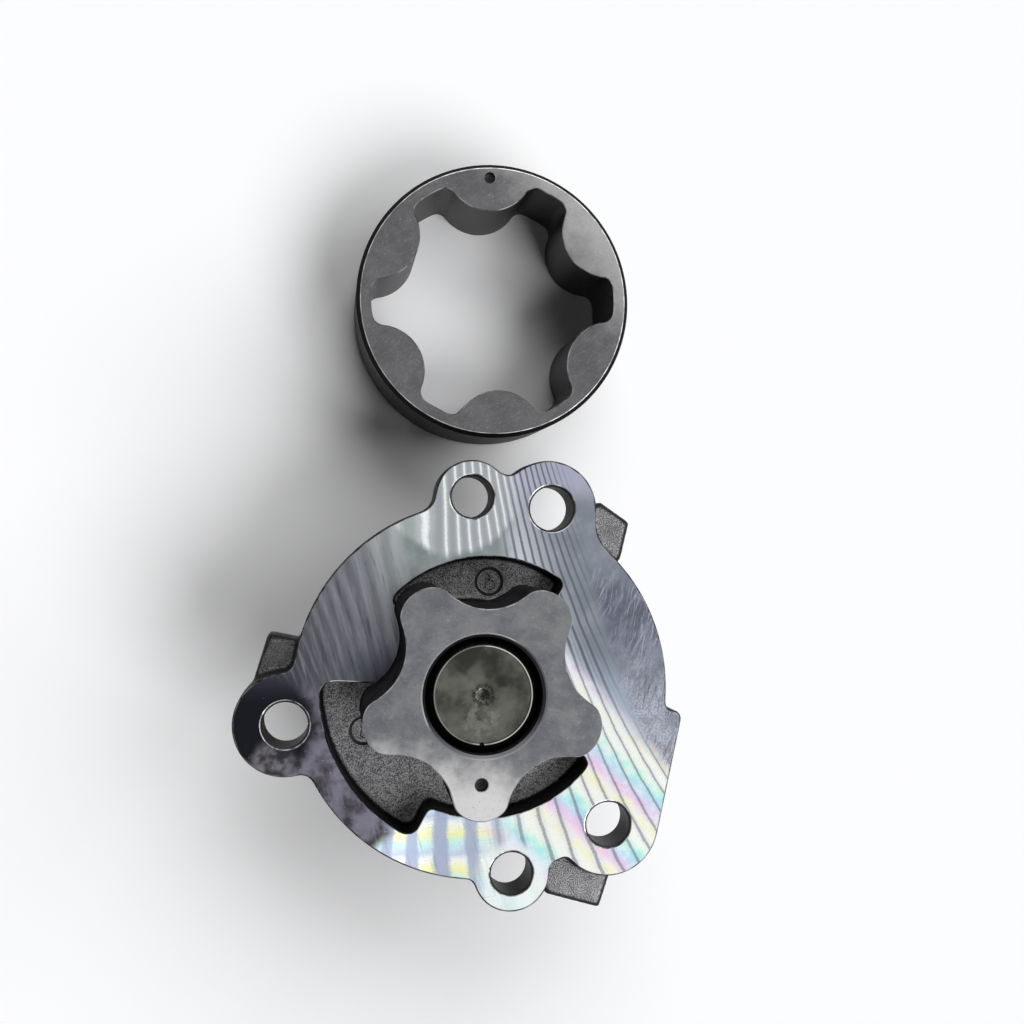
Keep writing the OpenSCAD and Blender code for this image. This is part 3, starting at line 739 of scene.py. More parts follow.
ring_x, ring_y = ring_centre.x / MM, ring_centre.y / MM
GLEAM_TURN = 38  # direction of the ring's gleam, in degrees
ring_gleam = (ring_x * math.cos(math.radians(GLEAM_TURN))
              + ring_y * math.sin(math.radians(GLEAM_TURN)))
rotor_face = ground_finish("ground_rotor_face", tint(0.40, 0.405, 0.43), tint(0.48, 0.485, 0.49),
                           -15, (-100, 9.0, 19.0, grey(0.80)))
ring_face = ground_finish("ground_ring_face", grey(0.355, 0.01), grey(0.40, 0.01), 35,
                          (GLEAM_TURN, ring_gleam + 13.0, ring_gleam + 30.0, grey(0.66)))
rotor_side = machined_finish("rotor_side", grey(0.11, 0.012), grey(0.19, 0.012), 0.35, 0.8)
rotor_flank = machined_finish("rotor_flank", grey(0.12, 0.01), grey(0.18, 0.01), 0.5, 0.0)
ring_outside = machined_finish("ring_outside", grey(0.10), grey(0.15), 0.45, 0.15)
oil_black = machined_finish("oil_black", grey(0.01), grey(0.04), 0.6, 0.0)
for oily, level in ((oil_black, 0.1), (ring_outside, 0.1), (rotor_flank, 0.0)):
    set_shader(oily.node_tree, {"Specular IOR Level": level})
print("finishes:", rotor_face.name, ring_face.name, rotor_side.name, rotor_flank.name,
      ring_outside.name)

# %% [markdown]
# The shaft's end is hardened, blackened steel under a film of oil. A painted highlight runs
# along a hair line round its rim, strong only on the right and in short pieces, with painted
# shade on the bevel outside it, and a rough ring surrounds the centre mark.

# %% Finish: shaft end
def shaft_end_finish():
    material, tree, place = new_finish("shaft_end")
    x, y, _ = components(place)
    r = distance_to(x, y, (0.0, 0.0))
    clouds = noise(place, 5.0, 4.0, 0.55)
    flecks = noise(place, 0.35, 2.0, 0.7, 4.0)
    colour = blend(step(clouds + y * -0.012, 0.34, 0.66), tint(0.18, 0.18, 0.17),
                   tint(0.33, 0.33, 0.31))
    rough = step(r + (clouds - 0.5) * 2.0, 3.0, 1.6)
    colour = blend(rough * step(flecks, 0.56, 0.44), colour, tint(0.15, 0.15, 0.14))
    colour = blend(rough * step(flecks, 0.62, 0.76) * 0.5, colour, tint(0.50, 0.50, 0.48))
    colour = blend(step(magnitude(r - 1.9 + (clouds - 0.5)), 0.35, 0.1) * 0.5, colour,
                   tint(0.13, 0.13, 0.12))
    colour = blend(step(r, 1.3, 1.0) * 0.75, colour, tint(0.10, 0.10, 0.09))
    smudge = noise(place, 1.8, 4.0, 0.75, 12.0)
    smear = step(distance_to(x, y, (-0.4, -4.6)) + (smudge - 0.5) * 9.0, 4.2, 1.6)
    smear = smear * step(smudge, 0.56, 0.44)
    colour = blend(smear * 0.5, colour, tint(0.46, 0.46, 0.44))
    around = noise(place, 3.0, 1.0, 0.5, 8.0)
    # Painted highlight: a hair line round the rim, strong on the right.
    wear_and_sheen = step(x + (around - 0.5) * 14.0, -2.0, 3.0)
    hair_line = step(magnitude(r - 9.15), 0.14, 0.05)
    colour = blend(hair_line * (0.2 + wear_and_sheen * 0.65), colour, tint(0.74, 0.74, 0.72))
    # Painted shade on the bevel outside the hair line.
    colour = blend(step(r, 9.2, 9.4), colour, tint(0.11, 0.11, 0.10))
    nick = step(distance_to(x, y, (-0.3, -9.3)), 0.6, 0.4)
    colour = blend(nick, colour, tint(0.05, 0.05, 0.05))
    set_shader(tree, {
        "Base Color": colour, "Metallic": 1.0, "Roughness": 0.22 + clouds * 0.15,
        "Normal": bump(clouds * 0.02 + flecks * (0.006 + rough * 0.012))})
    return material


shaft_end = shaft_end_finish()
print(shaft_end.name, "nodes:", len(shaft_end.node_tree.nodes))

# %% [markdown]
# The gear, the shaft's side, the nut with its tab washer, the key and the bronze bushes are
# seen from the sides and from below. They are plain turned and plated metals with a little
# cloudiness, so one function makes them all.

# %% Finishes: gear, fasteners and bronze
def plain_metal_finish(name, base, spot, roughness, size):
    material, tree, place = new_finish(name)
    clouds = noise(place, size, 4.0, 0.6)
    flecks = noise(place, 0.5, 2.0, 0.6, 4.0)
    colour = blend(step(clouds, 0.35, 0.68), base, spot)
    colour = blend(step(flecks, 0.62, 0.76) * 0.3, colour, grey(0.14))
    set_shader(tree, {
        "Base Color": colour, "Metallic": 1.0, "Roughness": roughness + clouds * 0.15,
        "Normal": bump(clouds * 0.03 + flecks * 0.02)})
    return material


shaft_side = plain_metal_finish("shaft_side", grey(0.08), grey(0.15), 0.35, 3.0)
toothed_steel = plain_metal_finish("toothed_steel", grey(0.30), grey(0.42), 0.35, 5.0)
plated = plain_metal_finish("plated", tint(0.60, 0.59, 0.52), tint(0.68, 0.67, 0.58), 0.3, 4.0)
bronze = plain_metal_finish("bronze", tint(0.55, 0.43, 0.26), tint(0.66, 0.53, 0.34), 0.35, 4.0)
print("finishes:", shaft_side.name, toothed_steel.name, plated.name, bronze.name)

# %% [markdown]
# The inner rotor's outline is no circle or spline. It is the curve that the outer rotor's
# round lobes sweep out: the lobe's centre follows a trochoid, and the outline lies one
# lobe radius inside it. The tree works that curve out for each column of the grid.

# %% Inner rotor: the rule of its outline
LOBE_PITCH_R = 29.45
LOBE_R = 9.8
ECCENTRICITY = 3.5
MESH_CLEARANCE = 0.05
INNER_TURN = math.radians(-92)
EDGE_BREAK = 0.2
ROTOR_COLUMNS = 480


def trochoid(size, turn, inset):
    """A point of the inner rotor's outline, a little inside it where inset is given."""
    t = turn * (2 * math.pi)
    a, b = t + size["Turn"], t * 6.0 + size["Turn"]
    x = size["Lobe pitch"] * cosine(a) + size["Eccentricity"] * cosine(b)
    y = size["Lobe pitch"] * sine(a) + size["Eccentricity"] * sine(b)
    along_x = -(size["Lobe pitch"] * sine(a)) - 6.0 * size["Eccentricity"] * sine(b)
    along_y = size["Lobe pitch"] * cosine(a) + 6.0 * size["Eccentricity"] * cosine(b)
    length = root(along_x * along_x + along_y * along_y)
    reach = size["Lobe"] + inset
    return x - along_y / length * reach, y + along_x / length * reach


def circle(size, turn, r):
    a = turn * (2 * math.pi) + size["Turn"]
    return cosine(a) * r, sine(a) * r


# %% [markdown]
# The bore's chamfer is dull, with painted light: a little lighter towards the bottom, and a
# painted highlight along its outer corner round the upper left. The line is found from its
# distance to the shaft's axis.

# %% Finish: the chamfer of the inner rotor's bore
SHAFT_R = (shaft_high.x - shaft_low.x) / 2 / MM
BORE_CHAMFER = 0.8


def bore_edge_finish():
    material, tree, place = new_finish("bore_edge")
    x, y, _ = components(place)
    r = distance_to(x, y, (0.0, 0.0))
    wear_and_sheen = noise(place, 1.5, 3.0, 0.6)
    # Painted light: lighter towards the bottom, and a painted highlight on the outer corner round
    # the upper left.
    colour = blend(step(y + wear_and_sheen * 2.0, -2.0, -9.0), tint(0.17, 0.17, 0.19),
                   tint(0.42, 0.42, 0.44))
    painted_highlight_side = step(y * 0.74 - x * 0.67 + (wear_and_sheen - 0.5) * 3.0, 1.5, 5.0)
    corner = step(r, SHAFT_R + BORE_CHAMFER * 0.55, SHAFT_R + BORE_CHAMFER * 0.75)
    colour = blend(corner * (0.15 + painted_highlight_side * 0.8), colour, tint(0.88, 0.88, 0.90))
    set_shader(tree, {"Base Color": colour, "Metallic": 1.0, "Roughness": 0.3})
    return material


bore_edge = bore_edge_finish()
print("bore radius", round(SHAFT_R, 2), "chamfer", BORE_CHAMFER)

# %% [markdown]
# With the outline and the chamfer known, the rotor's section is eight points: up the bore,
# out over the top face, down the flank and back in under the bottom face.

# %% Inner rotor: from its section to a mesh
def rotor_section(size, turn):
    low, high, edge, bore = size["Bottom"], size["Top"], size["Edge break"], size["Bore"]
    chamfer = size["Bore chamfer"]
    outside = trochoid(size, turn, 0.0)
    inside = trochoid(size, turn, edge)
    return [
        (*circle(size, turn, bore), low + chamfer), (*circle(size, turn, bore), high - chamfer),
        (*circle(size, turn, bore + chamfer), high), (*inside, high),
        (*outside, high - edge), (*outside, low + edge), (*inside, low),
        (*circle(size, turn, bore + chamfer), low)]


rotor_sizes = {
    "Lobe pitch": LOBE_PITCH_R * MM, "Eccentricity": ECCENTRICITY * MM,
    "Lobe": (LOBE_R + MESH_CLEARANCE) * MM, "Turn": INNER_TURN, "Bore": SHAFT_R * MM,
    "Bore chamfer": BORE_CHAMFER * MM, "Edge break": EDGE_BREAK * MM,
    "Bottom": rotor_low.z, "Top": rotor_high.z}
inner = grow("inner_rotor_body",
             end_tree(*ring_tree("lobed_rotor", rotor_sizes, ROTOR_COLUMNS, rotor_section)),
             rotor_sizes, rotor_face)

# %% [markdown]
# A drilled dot marks the lobe that was lined up when the pump was put together. A small
# countersink round it catches the light. Then the piece gets its other finishes: flanks
# and bore are dark, and the narrow edge breaks are lighter.

# %% Timing dots, and finishes by where a face is
DOT_R = 1.2
DOT_DEPTH = 1.8
INNER_DOT_AT = 16.3
OUTER_DOT_AT = 27.0
FLAT = 0.95  # how upright the normal of a level face is at least
SLOPING = 0.3  # and that of a chamfer
NEARLY = 0.01  # millimetres that a face's centre may lie off


def drill_dot(piece, centre, top):
    tool = turned("dot_drill", [
        (0, top - DOT_DEPTH - 0.35), (DOT_R, top - DOT_DEPTH), (DOT_R, top - 0.15),
        (DOT_R + 0.3, top + 0.15), (0, top + 0.15)], centre, 48)
    cut(piece, tool)


def give_finishes(piece, finishes, choose):
    """Gives each face the finish whose name choose(centre in mm, normal) returns."""
    names = list(finishes)
    piece.data.materials.clear()
    for name in names:
        piece.data.materials.append(finishes[name])
    counts = dict.fromkeys(names, 0)
    for face in piece.data.polygons:
        name = choose(face.center / MM, face.normal)
        counts[name] += 1
        face.material_index = names.index(name)
    print(piece.name, counts)


inner_dot = (INNER_DOT_AT * math.cos(INNER_TURN), INNER_DOT_AT * math.sin(INNER_TURN))
drill_dot(inner, inner_dot, rotor_high.z / MM)
finish_shape(inner)


def near(point, centre, r):
    return math.hypot(point.x - centre[0], point.y - centre[1]) < r


def inner_finish(at, normal):
    if near(at, inner_dot, DOT_R + NEARLY):
        return "hole"
    if abs(normal.z) > FLAT:
        return "face"
    if abs(normal.z) > SLOPING:
        return "bore" if near(at, (0, 0), SHAFT_R + BORE_CHAMFER) else "edge"
    return "side"


give_finishes(inner, {"face": rotor_face, "side": rotor_flank, "edge": lobe_edge,
                      "bore": bore_edge, "hole": drilled}, inner_finish)
place_on(inner, "drive_train", "inner_rotor")

# %% [markdown]
# The outer rotor's cavity has six round lobes, six round valleys and a small fillet where
# each pair meets. Half a lobe's pitch is therefore three arcs, and a column's place in the
# half pitch says on which of them it lies. Mirroring that half pitch twelve times gives
# the whole cavity, with a vertex exactly on every tangent point.

# %% Outer rotor
OUTER_TURN = math.radians(92)
VALLEY_R = LOBE_PITCH_R - LOBE_R + 2 * ECCENTRICITY + 0.1
CORNER_R = 2.5
RING_CHAMFER = 0.85
RUBBED_WIDTH = 0.16
RUBBED_DROP = 0.03
LEVEL = 0.999  # a ground face is flatter than the rubbed strip round it
CAVITY_END = 28.5  # no face of the cavity lies farther out
corner_reach = VALLEY_R - CORNER_R
corner_gap = LOBE_R + CORNER_R
corner_turn = math.acos(
    (corner_reach ** 2 + LOBE_PITCH_R ** 2 - corner_gap ** 2) / (2 * corner_reach * LOBE_PITCH_R))
corner_x, corner_y = corner_reach * math.cos(corner_turn), corner_reach * math.sin(corner_turn)
lobe_end = math.atan2(corner_y, corner_x - LOBE_PITCH_R)
LOBE_COLUMNS, CORNER_COLUMNS, VALLEY_COLUMNS = 14, 8, 10
HALF_PITCH = LOBE_COLUMNS + CORNER_COLUMNS + VALLEY_COLUMNS


def cavity(size, turn, grow_by):
    """A point of the cavity's edge and its direction from the axis, with the cavity grown
    by grow_by."""
    pitch = turn * 6.0
    lobe = whole(pitch + 0.5)
    offset = pitch - lobe
    column = magnitude(offset) * (2.0 * HALF_PITCH)
    side = offset.math("SIGN", offset)
    on_lobe = clamped(column / LOBE_COLUMNS)
    on_corner = clamped((column - LOBE_COLUMNS) / CORNER_COLUMNS)
    on_valley = clamped((column - LOBE_COLUMNS - CORNER_COLUMNS) / VALLEY_COLUMNS)
    past_lobe = on_corner.math("SIGN", on_corner)
    past_corner = on_valley.math("SIGN", on_valley)
    scale = size["Scale"]

    a = math.pi + on_lobe * (lobe_end - math.pi)
    lobe_point = (scale * LOBE_PITCH_R + cosine(a) * (scale * LOBE_R - grow_by),
                  sine(a) * (scale * LOBE_R - grow_by))
    a = lobe_end - math.pi + on_corner * (corner_turn - lobe_end + math.pi)
    corner_point = (scale * corner_x + cosine(a) * (scale * CORNER_R + grow_by),
                    scale * corner_y + sine(a) * (scale * CORNER_R + grow_by))
    a = corner_turn + on_valley * (math.pi / 6 - corner_turn)
    valley_point = (cosine(a) * (scale * VALLEY_R + grow_by),
                    sine(a) * (scale * VALLEY_R + grow_by))
    x, y = [p + past_lobe * (q - p) + past_corner * (r - q)
            for p, q, r in zip(lobe_point, corner_point, valley_point)]
    y = y * side
    swing = lobe * (math.pi / 3) + size["Turn"]
    direction = y.math("ARCTAN2", y, x) + swing
    return (size["Centre X"] + x * cosine(swing) - y * sine(swing),
            size["Centre Y"] + x * sine(swing) + y * cosine(swing)), direction


def ring_section(size, turn):
    low, high, edge, chamfer = size["Bottom"], size["Top"], size["Edge break"], size["Chamfer"]
    wall, direction = cavity(size, turn, 0.0)
    mouth, _ = cavity(size, turn, edge)

    def outside(r):
        return size["Centre X"] + cosine(direction) * r, size["Centre Y"] + sine(direction) * r

    r = size["Outside"]
    worn_r = r - chamfer - RUBBED_WIDTH * MM
    return [
        (*wall, low + edge), (*wall, high - edge), (*mouth, high), (*outside(worn_r), high),
        (*outside(r - chamfer), high - RUBBED_DROP * MM), (*outside(r), high - chamfer),
        (*outside(r), low + chamfer), (*outside(r - chamfer), low), (*mouth, low)]


ring_r = (ring_high.x - ring_low.x) / 2
ring_sizes = {
    "Scale": MM, "Turn": OUTER_TURN, "Centre X": ring_centre.x, "Centre Y": ring_centre.y,
    "Outside": ring_r, "Chamfer": RING_CHAMFER * MM, "Edge break": EDGE_BREAK * MM,
    "Bottom": ring_low.z, "Top": ring_high.z}
ring = grow("outer_rotor_body",
            end_tree(*ring_tree("lobed_ring", ring_sizes, 12 * HALF_PITCH, ring_section)),
            ring_sizes, ring_face)
outer_dot = (ring_x + OUTER_DOT_AT * math.cos(OUTER_TURN),
             ring_y + OUTER_DOT_AT * math.sin(OUTER_TURN))
drill_dot(ring, outer_dot, ring_high.z / MM)
finish_shape(ring)


def ring_finish(at, normal):
    if near(at, outer_dot, DOT_R + NEARLY):
        return "hole"
    if abs(normal.z) > LEVEL:
        return "face"
    if abs(normal.z) > FLAT:
        return "edge"
    if not near(at, (ring_x, ring_y), CAVITY_END):
        return "chamfer" if abs(normal.z) > SLOPING else "outside"
    return "edge" if abs(normal.z) > SLOPING else "side"


give_finishes(ring, {"face": ring_face, "side": rotor_side, "edge": rotor_edge,
                     "outside": ring_outside, "chamfer": oil_black, "hole": drilled}, ring_finish)
place_on(ring, "outer_rotor", "outer_rotor")

# %% [markdown]
# The drive gear carries the pump where it stands on the bench. Its teeth are involutes,
# and an involute is a rule too: the half angle of a tooth at any radius follows from the
# pressure angle. So the gear is the same rolled-up grid, with 24 columns for each tooth.

# %% Drive gear
TEETH = 28
GEAR_MODULE = 2.0
PRESSURE_ANGLE = math.radians(20)
BACKLASH = 0.1
pitch_r = TEETH * GEAR_MODULE / 2
base_r = pitch_r * math.cos(PRESSURE_ANGLE)
half_at_pitch = (math.pi / 2 - BACKLASH * math.pi / 2 / GEAR_MODULE) / TEETH
involute_at_pitch = math.tan(PRESSURE_ANGLE) - PRESSURE_ANGLE
TIP_COLUMNS, FLANK_COLUMNS, ROOT_COLUMNS = 2, 7, 3
HALF_TOOTH = TIP_COLUMNS + FLANK_COLUMNS + ROOT_COLUMNS
RIM_INNER_R = 21.5
RIM_TOP = -26.4
HUB_R = 15.0
HUB_TOP = -21.55
WEB_BOTTOM = -32.0
GEAR_SEAT_R = 9.0


def half_tooth(r):
    """Half the angle that a tooth fills at radius r."""
    over = root(greater(r * r / base_r ** 2 - 1.0, 0.0))
    return half_at_pitch + involute_at_pitch - over + over.math("ARCTANGENT", over)


def gear_outline(size, turn, inset):
    pitch = turn * float(TEETH)
    tooth = whole(pitch + 0.5)
    offset = pitch - tooth
    column = magnitude(offset) * (2.0 * HALF_TOOTH)
    on_tip = clamped(column / TIP_COLUMNS)
    on_flank = clamped((column - TIP_COLUMNS) / FLANK_COLUMNS)
    on_root = clamped((column - TIP_COLUMNS - FLANK_COLUMNS) / ROOT_COLUMNS)
    r = (pitch_r + GEAR_MODULE) - on_flank * (2.25 * GEAR_MODULE)
    at_flank = half_tooth(r)
    angle = at_flank * on_tip + on_root * (math.pi / TEETH - at_flank)
    angle = offset.math("SIGN", offset) * angle + tooth * (2 * math.pi / TEETH)
    r = (r - inset) * size["Scale"]
    return cosine(angle) * r, sine(angle) * r


def gear_section(size, turn):
    low, high, edge = size["Bottom"], size["Rim top"], size["Edge break"]
    teeth, teeth_in = gear_outline(size, turn, 0.0), gear_outline(size, turn, EDGE_BREAK)

    def ring_of(r):
        return circle(size, turn, r * size["Scale"])

    return [
        (*ring_of(GEAR_SEAT_R), size["Web bottom"]), (*ring_of(GEAR_SEAT_R), size["Hub top"]),
        (*ring_of(HUB_R - 0.4), size["Hub top"]), (*ring_of(HUB_R), size["Hub top"] - edge * 2.0),
        (*ring_of(HUB_R), high), (*teeth_in, high), (*teeth, high - edge), (*teeth, low + edge),
        (*teeth_in, low), (*ring_of(RIM_INNER_R + 0.3), low), (*ring_of(RIM_INNER_R), low + edge),
        (*ring_of(RIM_INNER_R), size["Web bottom"])]


gear_sizes = {
    "Scale": MM, "Turn": 0.0, "Edge break": EDGE_BREAK * MM, "Bottom": gear_low.z,
    "Rim top": RIM_TOP * MM, "Hub top": HUB_TOP * MM, "Web bottom": WEB_BOTTOM * MM}
gear_tree, gear_size, gear_ring = ring_tree(
    "toothed_ring", gear_sizes, 2 * HALF_TOOTH * TEETH, gear_section)

# %% [markdown]
# Five holes lighten the gear's web. One cylinder is put on the five points of a circle, and
# all five are taken out at once, still inside the gear's own tree.

# %% Drive gear: holes in the web
WEB_HOLES = 5
WEB_HOLE_R = 2.2
WEB_DRILL_LENGTH = 12.0
hole_points = Wire.make(gear_tree, "GeometryNodeMeshCircle", {"fill_type": "NONE"}, {
    "Vertices": WEB_HOLES, "Radius": (HUB_R + RIM_INNER_R) / 2 * MM})
hole_points = Wire.make(gear_tree, "GeometryNodeTransform", {}, {
    "Geometry": hole_points, "Translation": (0, 0, (WEB_BOTTOM + RIM_TOP) / 2 * MM)})
web_drill = Wire.make(gear_tree, "GeometryNodeMeshCylinder", {}, {
    "Vertices": 40, "Radius": WEB_HOLE_R * MM, "Depth": WEB_DRILL_LENGTH * MM})
web_drills = Wire.make(gear_tree, "GeometryNodeRealizeInstances", {}, {
    "Geometry": Wire.make(gear_tree, "GeometryNodeInstanceOnPoints", {}, {
        "Points": hole_points, "Instance": web_drill})})
drilled_gear = Wire.make(
    gear_tree, "GeometryNodeMeshBoolean", {"operation": "DIFFERENCE", "solver": "MANIFOLD"},
    {"Mesh 1": gear_ring, "Mesh 2": web_drills})
gear = grow("drive_gear_body", end_tree(gear_tree, gear_size, drilled_gear), gear_sizes,
            toothed_steel)

# %% [markdown]
# A key locks the gear to the shaft. Its keyway is cut in both, and the gear's is a little
# deeper, so that the key doesn't jam against its roof.

# %% Drive gear: keyway
KEY_CLEARANCE = 0.3
cut(gear, block(key_low, key_high + Vector((KEY_CLEARANCE * MM, 0, 0))))
finish_shape(gear)
place_on(gear, "drive_train", "drive_gear")

# %% [markdown]
# The shaft is a plain turned part, so it comes from a profile. What the photograph shows
# is only its end: a shallow dish inside a thin bright rim, and the rough centre mark that
# the lathe left.

# %% Shaft
THREAD_R = 7
THREAD_CHAMFER = 1
SHAFT_CHAMFER = 1.6
DISH_R = 9.0
DISH_DEPTH = 0.45
MARK_R = 1.5
MARK_DEPTH = 1.3
shaft_top, shaft_bottom = shaft_high.z / MM, shaft_low.z / MM
dish = shaft_top - DISH_DEPTH
shaft = turned("drive_shaft_body", [
    (0, shaft_bottom), (THREAD_R - THREAD_CHAMFER, shaft_bottom),
    (THREAD_R, shaft_bottom + THREAD_CHAMFER), (THREAD_R, WEB_BOTTOM),
    (GEAR_SEAT_R, WEB_BOTTOM), (GEAR_SEAT_R, HUB_TOP), (SHAFT_R, HUB_TOP),
    (SHAFT_R, shaft_top - SHAFT_CHAMFER), (9.55, shaft_top - 0.1), (9.35, shaft_top),
    (9.05, shaft_top - 0.02), (DISH_R, shaft_top - 0.4), (5, dish), (MARK_R, dish),
    (1.1, shaft_top - 0.5), (0, shaft_top - MARK_DEPTH)], steps=160)
cut(shaft, block(key_low, key_high))
finish_shape(shaft)


def shaft_finish(at, normal):
    is_end = at.z > shaft_top - SHAFT_CHAMFER + 0.05 and near(at, (0, 0), DISH_R + 0.6)
    return "end" if is_end else "side"


give_finishes(shaft, {"side": shaft_side, "end": shaft_end}, shaft_finish)
place_on(shaft, "drive_train", "drive_shaft")

# %% [markdown]
# The housing is a casting, and a casting has no sharp inside corners. Rounding all of them
# by hand would take long. Remeshing the CAD solid into small cubes and relaxing the result
# rounds every corner at once. The milled face must stay flat and crisp, so the solid is
# first carried two millimetres past it, and the surplus is sliced off afterwards, as the
# milling cutter did.

# %% Housing: from the CAD solid to a soft casting
VOXEL = 0.5
STOCK = 2.0
LUG_TOP = -4.0
LUG_CHAMFER = 0.9
BORE_PLUG_DEPTH = 19.8
HOLE_PLUG_DEPTH = 8.6
bolt_places = [([v / MM for v in mount["pos_m"]], mount["dims"]["r_mm"],
                mount["dims"]["length_mm"]) for mount in bolt_holes]


def merged_copy(node):
    """A copy of a CAD node whose loose triangles are joined into one surface."""
    bm = bmesh.new()
    bm.from_mesh(nodes[node].data)
    bmesh.ops.remove_doubles(bm, verts=bm.verts, dist=TOUCHING)
    return bm


bm = merged_copy("pump_housing")
top_faces = [f for f in bm.faces
             if f.normal.z > 0.9 and all(abs(v.co.z) < TOUCHING for v in f.verts)]
raised = bmesh.ops.extrude_face_region(bm, geom=top_faces)["geom"]
for vert in raised:
    if isinstance(vert, bmesh.types.BMVert):
        vert.co.z = STOCK * MM

# %% [markdown]
# A cast outer corner isn't sharp either, and the camera looks straight at the lugs' tops.
# Each top is inset, and only the corners that stand proud are lowered, which leaves a
# chamfer. The bore and the bolt holes are plugged, because they are machined again below.

# %% Housing: chamfered lugs, and plugs in the holes
lug_tops = [f for f in bm.faces
            if f.normal.z > 0.9 and abs(f.calc_center_median().z / MM - LUG_TOP) < 0.01]
strip = bmesh.ops.inset_region(bm, faces=lug_tops, thickness=LUG_CHAMFER * MM,
                               use_boundary=True, use_even_offset=True)["faces"]
inside = {v for f in lug_tops for v in f.verts}
corners = [v for v in {v for f in strip for v in f.verts} - inside
           if all(w.co.z < v.co.z + NEARLY * MM for f in v.link_faces for w in f.verts)]
for vert in corners:
    vert.co.z -= LUG_CHAMFER * MM
print("lug tops:", len(lug_tops), "faces with", len(corners), "chamfered corners")
bush_r = (bush_high.x - bush_low.x) / 2 / MM
wanted = [((0, 0), bush_r + 0.6, BORE_PLUG_DEPTH)]
wanted += [(at[:2], r + 0.8, HOLE_PLUG_DEPTH) for at, r, _ in bolt_places]
for at, r, depth in wanted:
    plug = turned("plug", [(0, -depth), (r, -depth), (r, STOCK), (0, STOCK)], at)
    bm.from_mesh(plug.data)
    bpy.data.objects.remove(plug)
mesh = bpy.data.meshes.new("housing_casting")
bm.to_mesh(mesh)
bm.free()
housing = to_object("housing_casting", mesh)
remesh = housing.modifiers.new("voxels", "REMESH")
remesh.mode = "VOXEL"
remesh.voxel_size = VOXEL * MM
settle(housing)
print("remeshed housing:", len(housing.data.polygons), "faces")

# %% Housing: relax the cast skin, but not the metal next to the milled face
CRISP_DEPTH = 0.7
FADE_DEPTH = 1.8
soft = housing.vertex_groups.new(name="cast skin")
for vert in housing.data.vertices:
    weight = min(1.0, max(0.0, (-CRISP_DEPTH - vert.co.z / MM) / FADE_DEPTH))
    if weight:
        soft.add([vert.index], weight, "REPLACE")
relax = housing.modifiers.new("relax", "SMOOTH")
relax.vertex_group = "cast skin"
relax.factor = 0.5
relax.iterations = 10
settle(housing)
print("skin relaxed from", CRISP_DEPTH, "mm below the milled face down")

# %% [markdown]
# Slicing the cubes leaves a rim with little steps. A few rounds of moving every rim point
# half way to the middle of its neighbours draw it smooth. Then the gap is filled, and two
# narrow strips just inside the rim slope down to it, as a rubbed edge does.

# %% Housing: mill the face flat and break its edges
RUBBED = 0.15
RIM_ROUNDS = 5
RIM_GAP = 0.08  # rim points closer than this are joined
bm = bmesh.new()
bm.from_mesh(housing.data)
bmesh.ops.bisect_plane(bm, geom=bm.verts[:] + bm.edges[:] + bm.faces[:], dist=0.0001 * MM,
                       plane_co=(0, 0, 0), plane_no=(0, 0, 1), clear_outer=True)
rim = [v for v in bm.verts if v.is_boundary]
bmesh.ops.remove_doubles(bm, verts=rim, dist=RIM_GAP * MM)
rim = [v for v in bm.verts if v.is_boundary]
for _ in range(RIM_ROUNDS):
    middles = [sum((e.other_vert(v).co for e in v.link_edges if e.is_boundary), Vector()) / 2
               for v in rim]
    for vert, middle in zip(rim, middles):
        vert.co = (vert.co + middle) / 2
rim_edges = [e for e in bm.edges if e.is_boundary]
print("edge of the milled face:", len(rim_edges), "edges,",
      round(sum(e.calc_length() for e in rim_edges) / MM), "mm long")
# Filled as it lies, the cap came out with a black sliver, and turned a little it doesn't.
aside = Matrix.Rotation(0.3, 3, "Z")
bmesh.ops.rotate(bm, verts=bm.verts, matrix=aside)
cap = bmesh.ops.triangle_fill(bm, edges=rim_edges, use_beauty=True)["geom"]
bmesh.ops.rotate(bm, verts=bm.verts, matrix=aside.inverted())
cap = [f for f in cap if isinstance(f, bmesh.types.BMFace)]
print("open edges after the cap:", sum(e.is_boundary for e in bm.edges))
for width, drop in ((RUBBED, RUBBED + RUBBED_DROP), (RUBBED_WIDTH, RUBBED_DROP)):
    strip = bmesh.ops.inset_region(bm, faces=cap, thickness=width * MM, use_boundary=True,
                                   use_even_offset=True)["faces"]
    flat = {v for f in cap for v in f.verts}
    for vert in {v for f in strip for v in f.verts} - flat:
        vert.co.z = -drop * MM
bm.to_mesh(housing.data)
bm.free()
finish_shape(housing)

# %% [markdown]
# Drilling and boring come after the casting, here as in the factory. Each bolt hole is cut
# with its chamfer and the round seat for the bolt's head in one go, because a turned
# cutter can have all three in its profile.

# %% Housing: bore and drill
SEAT_R = 7.2
HOLE_CHAMFER = 0.4
TOOL_END = -21  # all the cutters reach past the flange
TOOL_TOP = 0.5
tools = [turned("boring_bar", [
    (0, TOOL_END), (bush_r, TOOL_END), (bush_r, -0.3), (bush_r + 0.8, TOOL_TOP), (0, TOOL_TOP)],
    steps=128)]
for (x, y, z), r, length in bolt_places:
    seat = z - length / 2
    tools.append(turned("bolt_drill", [
        (0, TOOL_END), (SEAT_R, TOOL_END), (SEAT_R, seat), (r, seat), (r, -HOLE_CHAMFER),
        (r + HOLE_CHAMFER - RUBBED_DROP, -RUBBED_DROP), (r + HOLE_CHAMFER + RUBBED_WIDTH, 0),
        (r + 1.2, TOOL_TOP), (0, TOOL_TOP)], (x, y), 128))

# %% [markdown]
# Each port floor has a round sinking with a groove round its island. In the photograph they
# carry marks, which aren't copied. Two plain pits give the light something to catch.

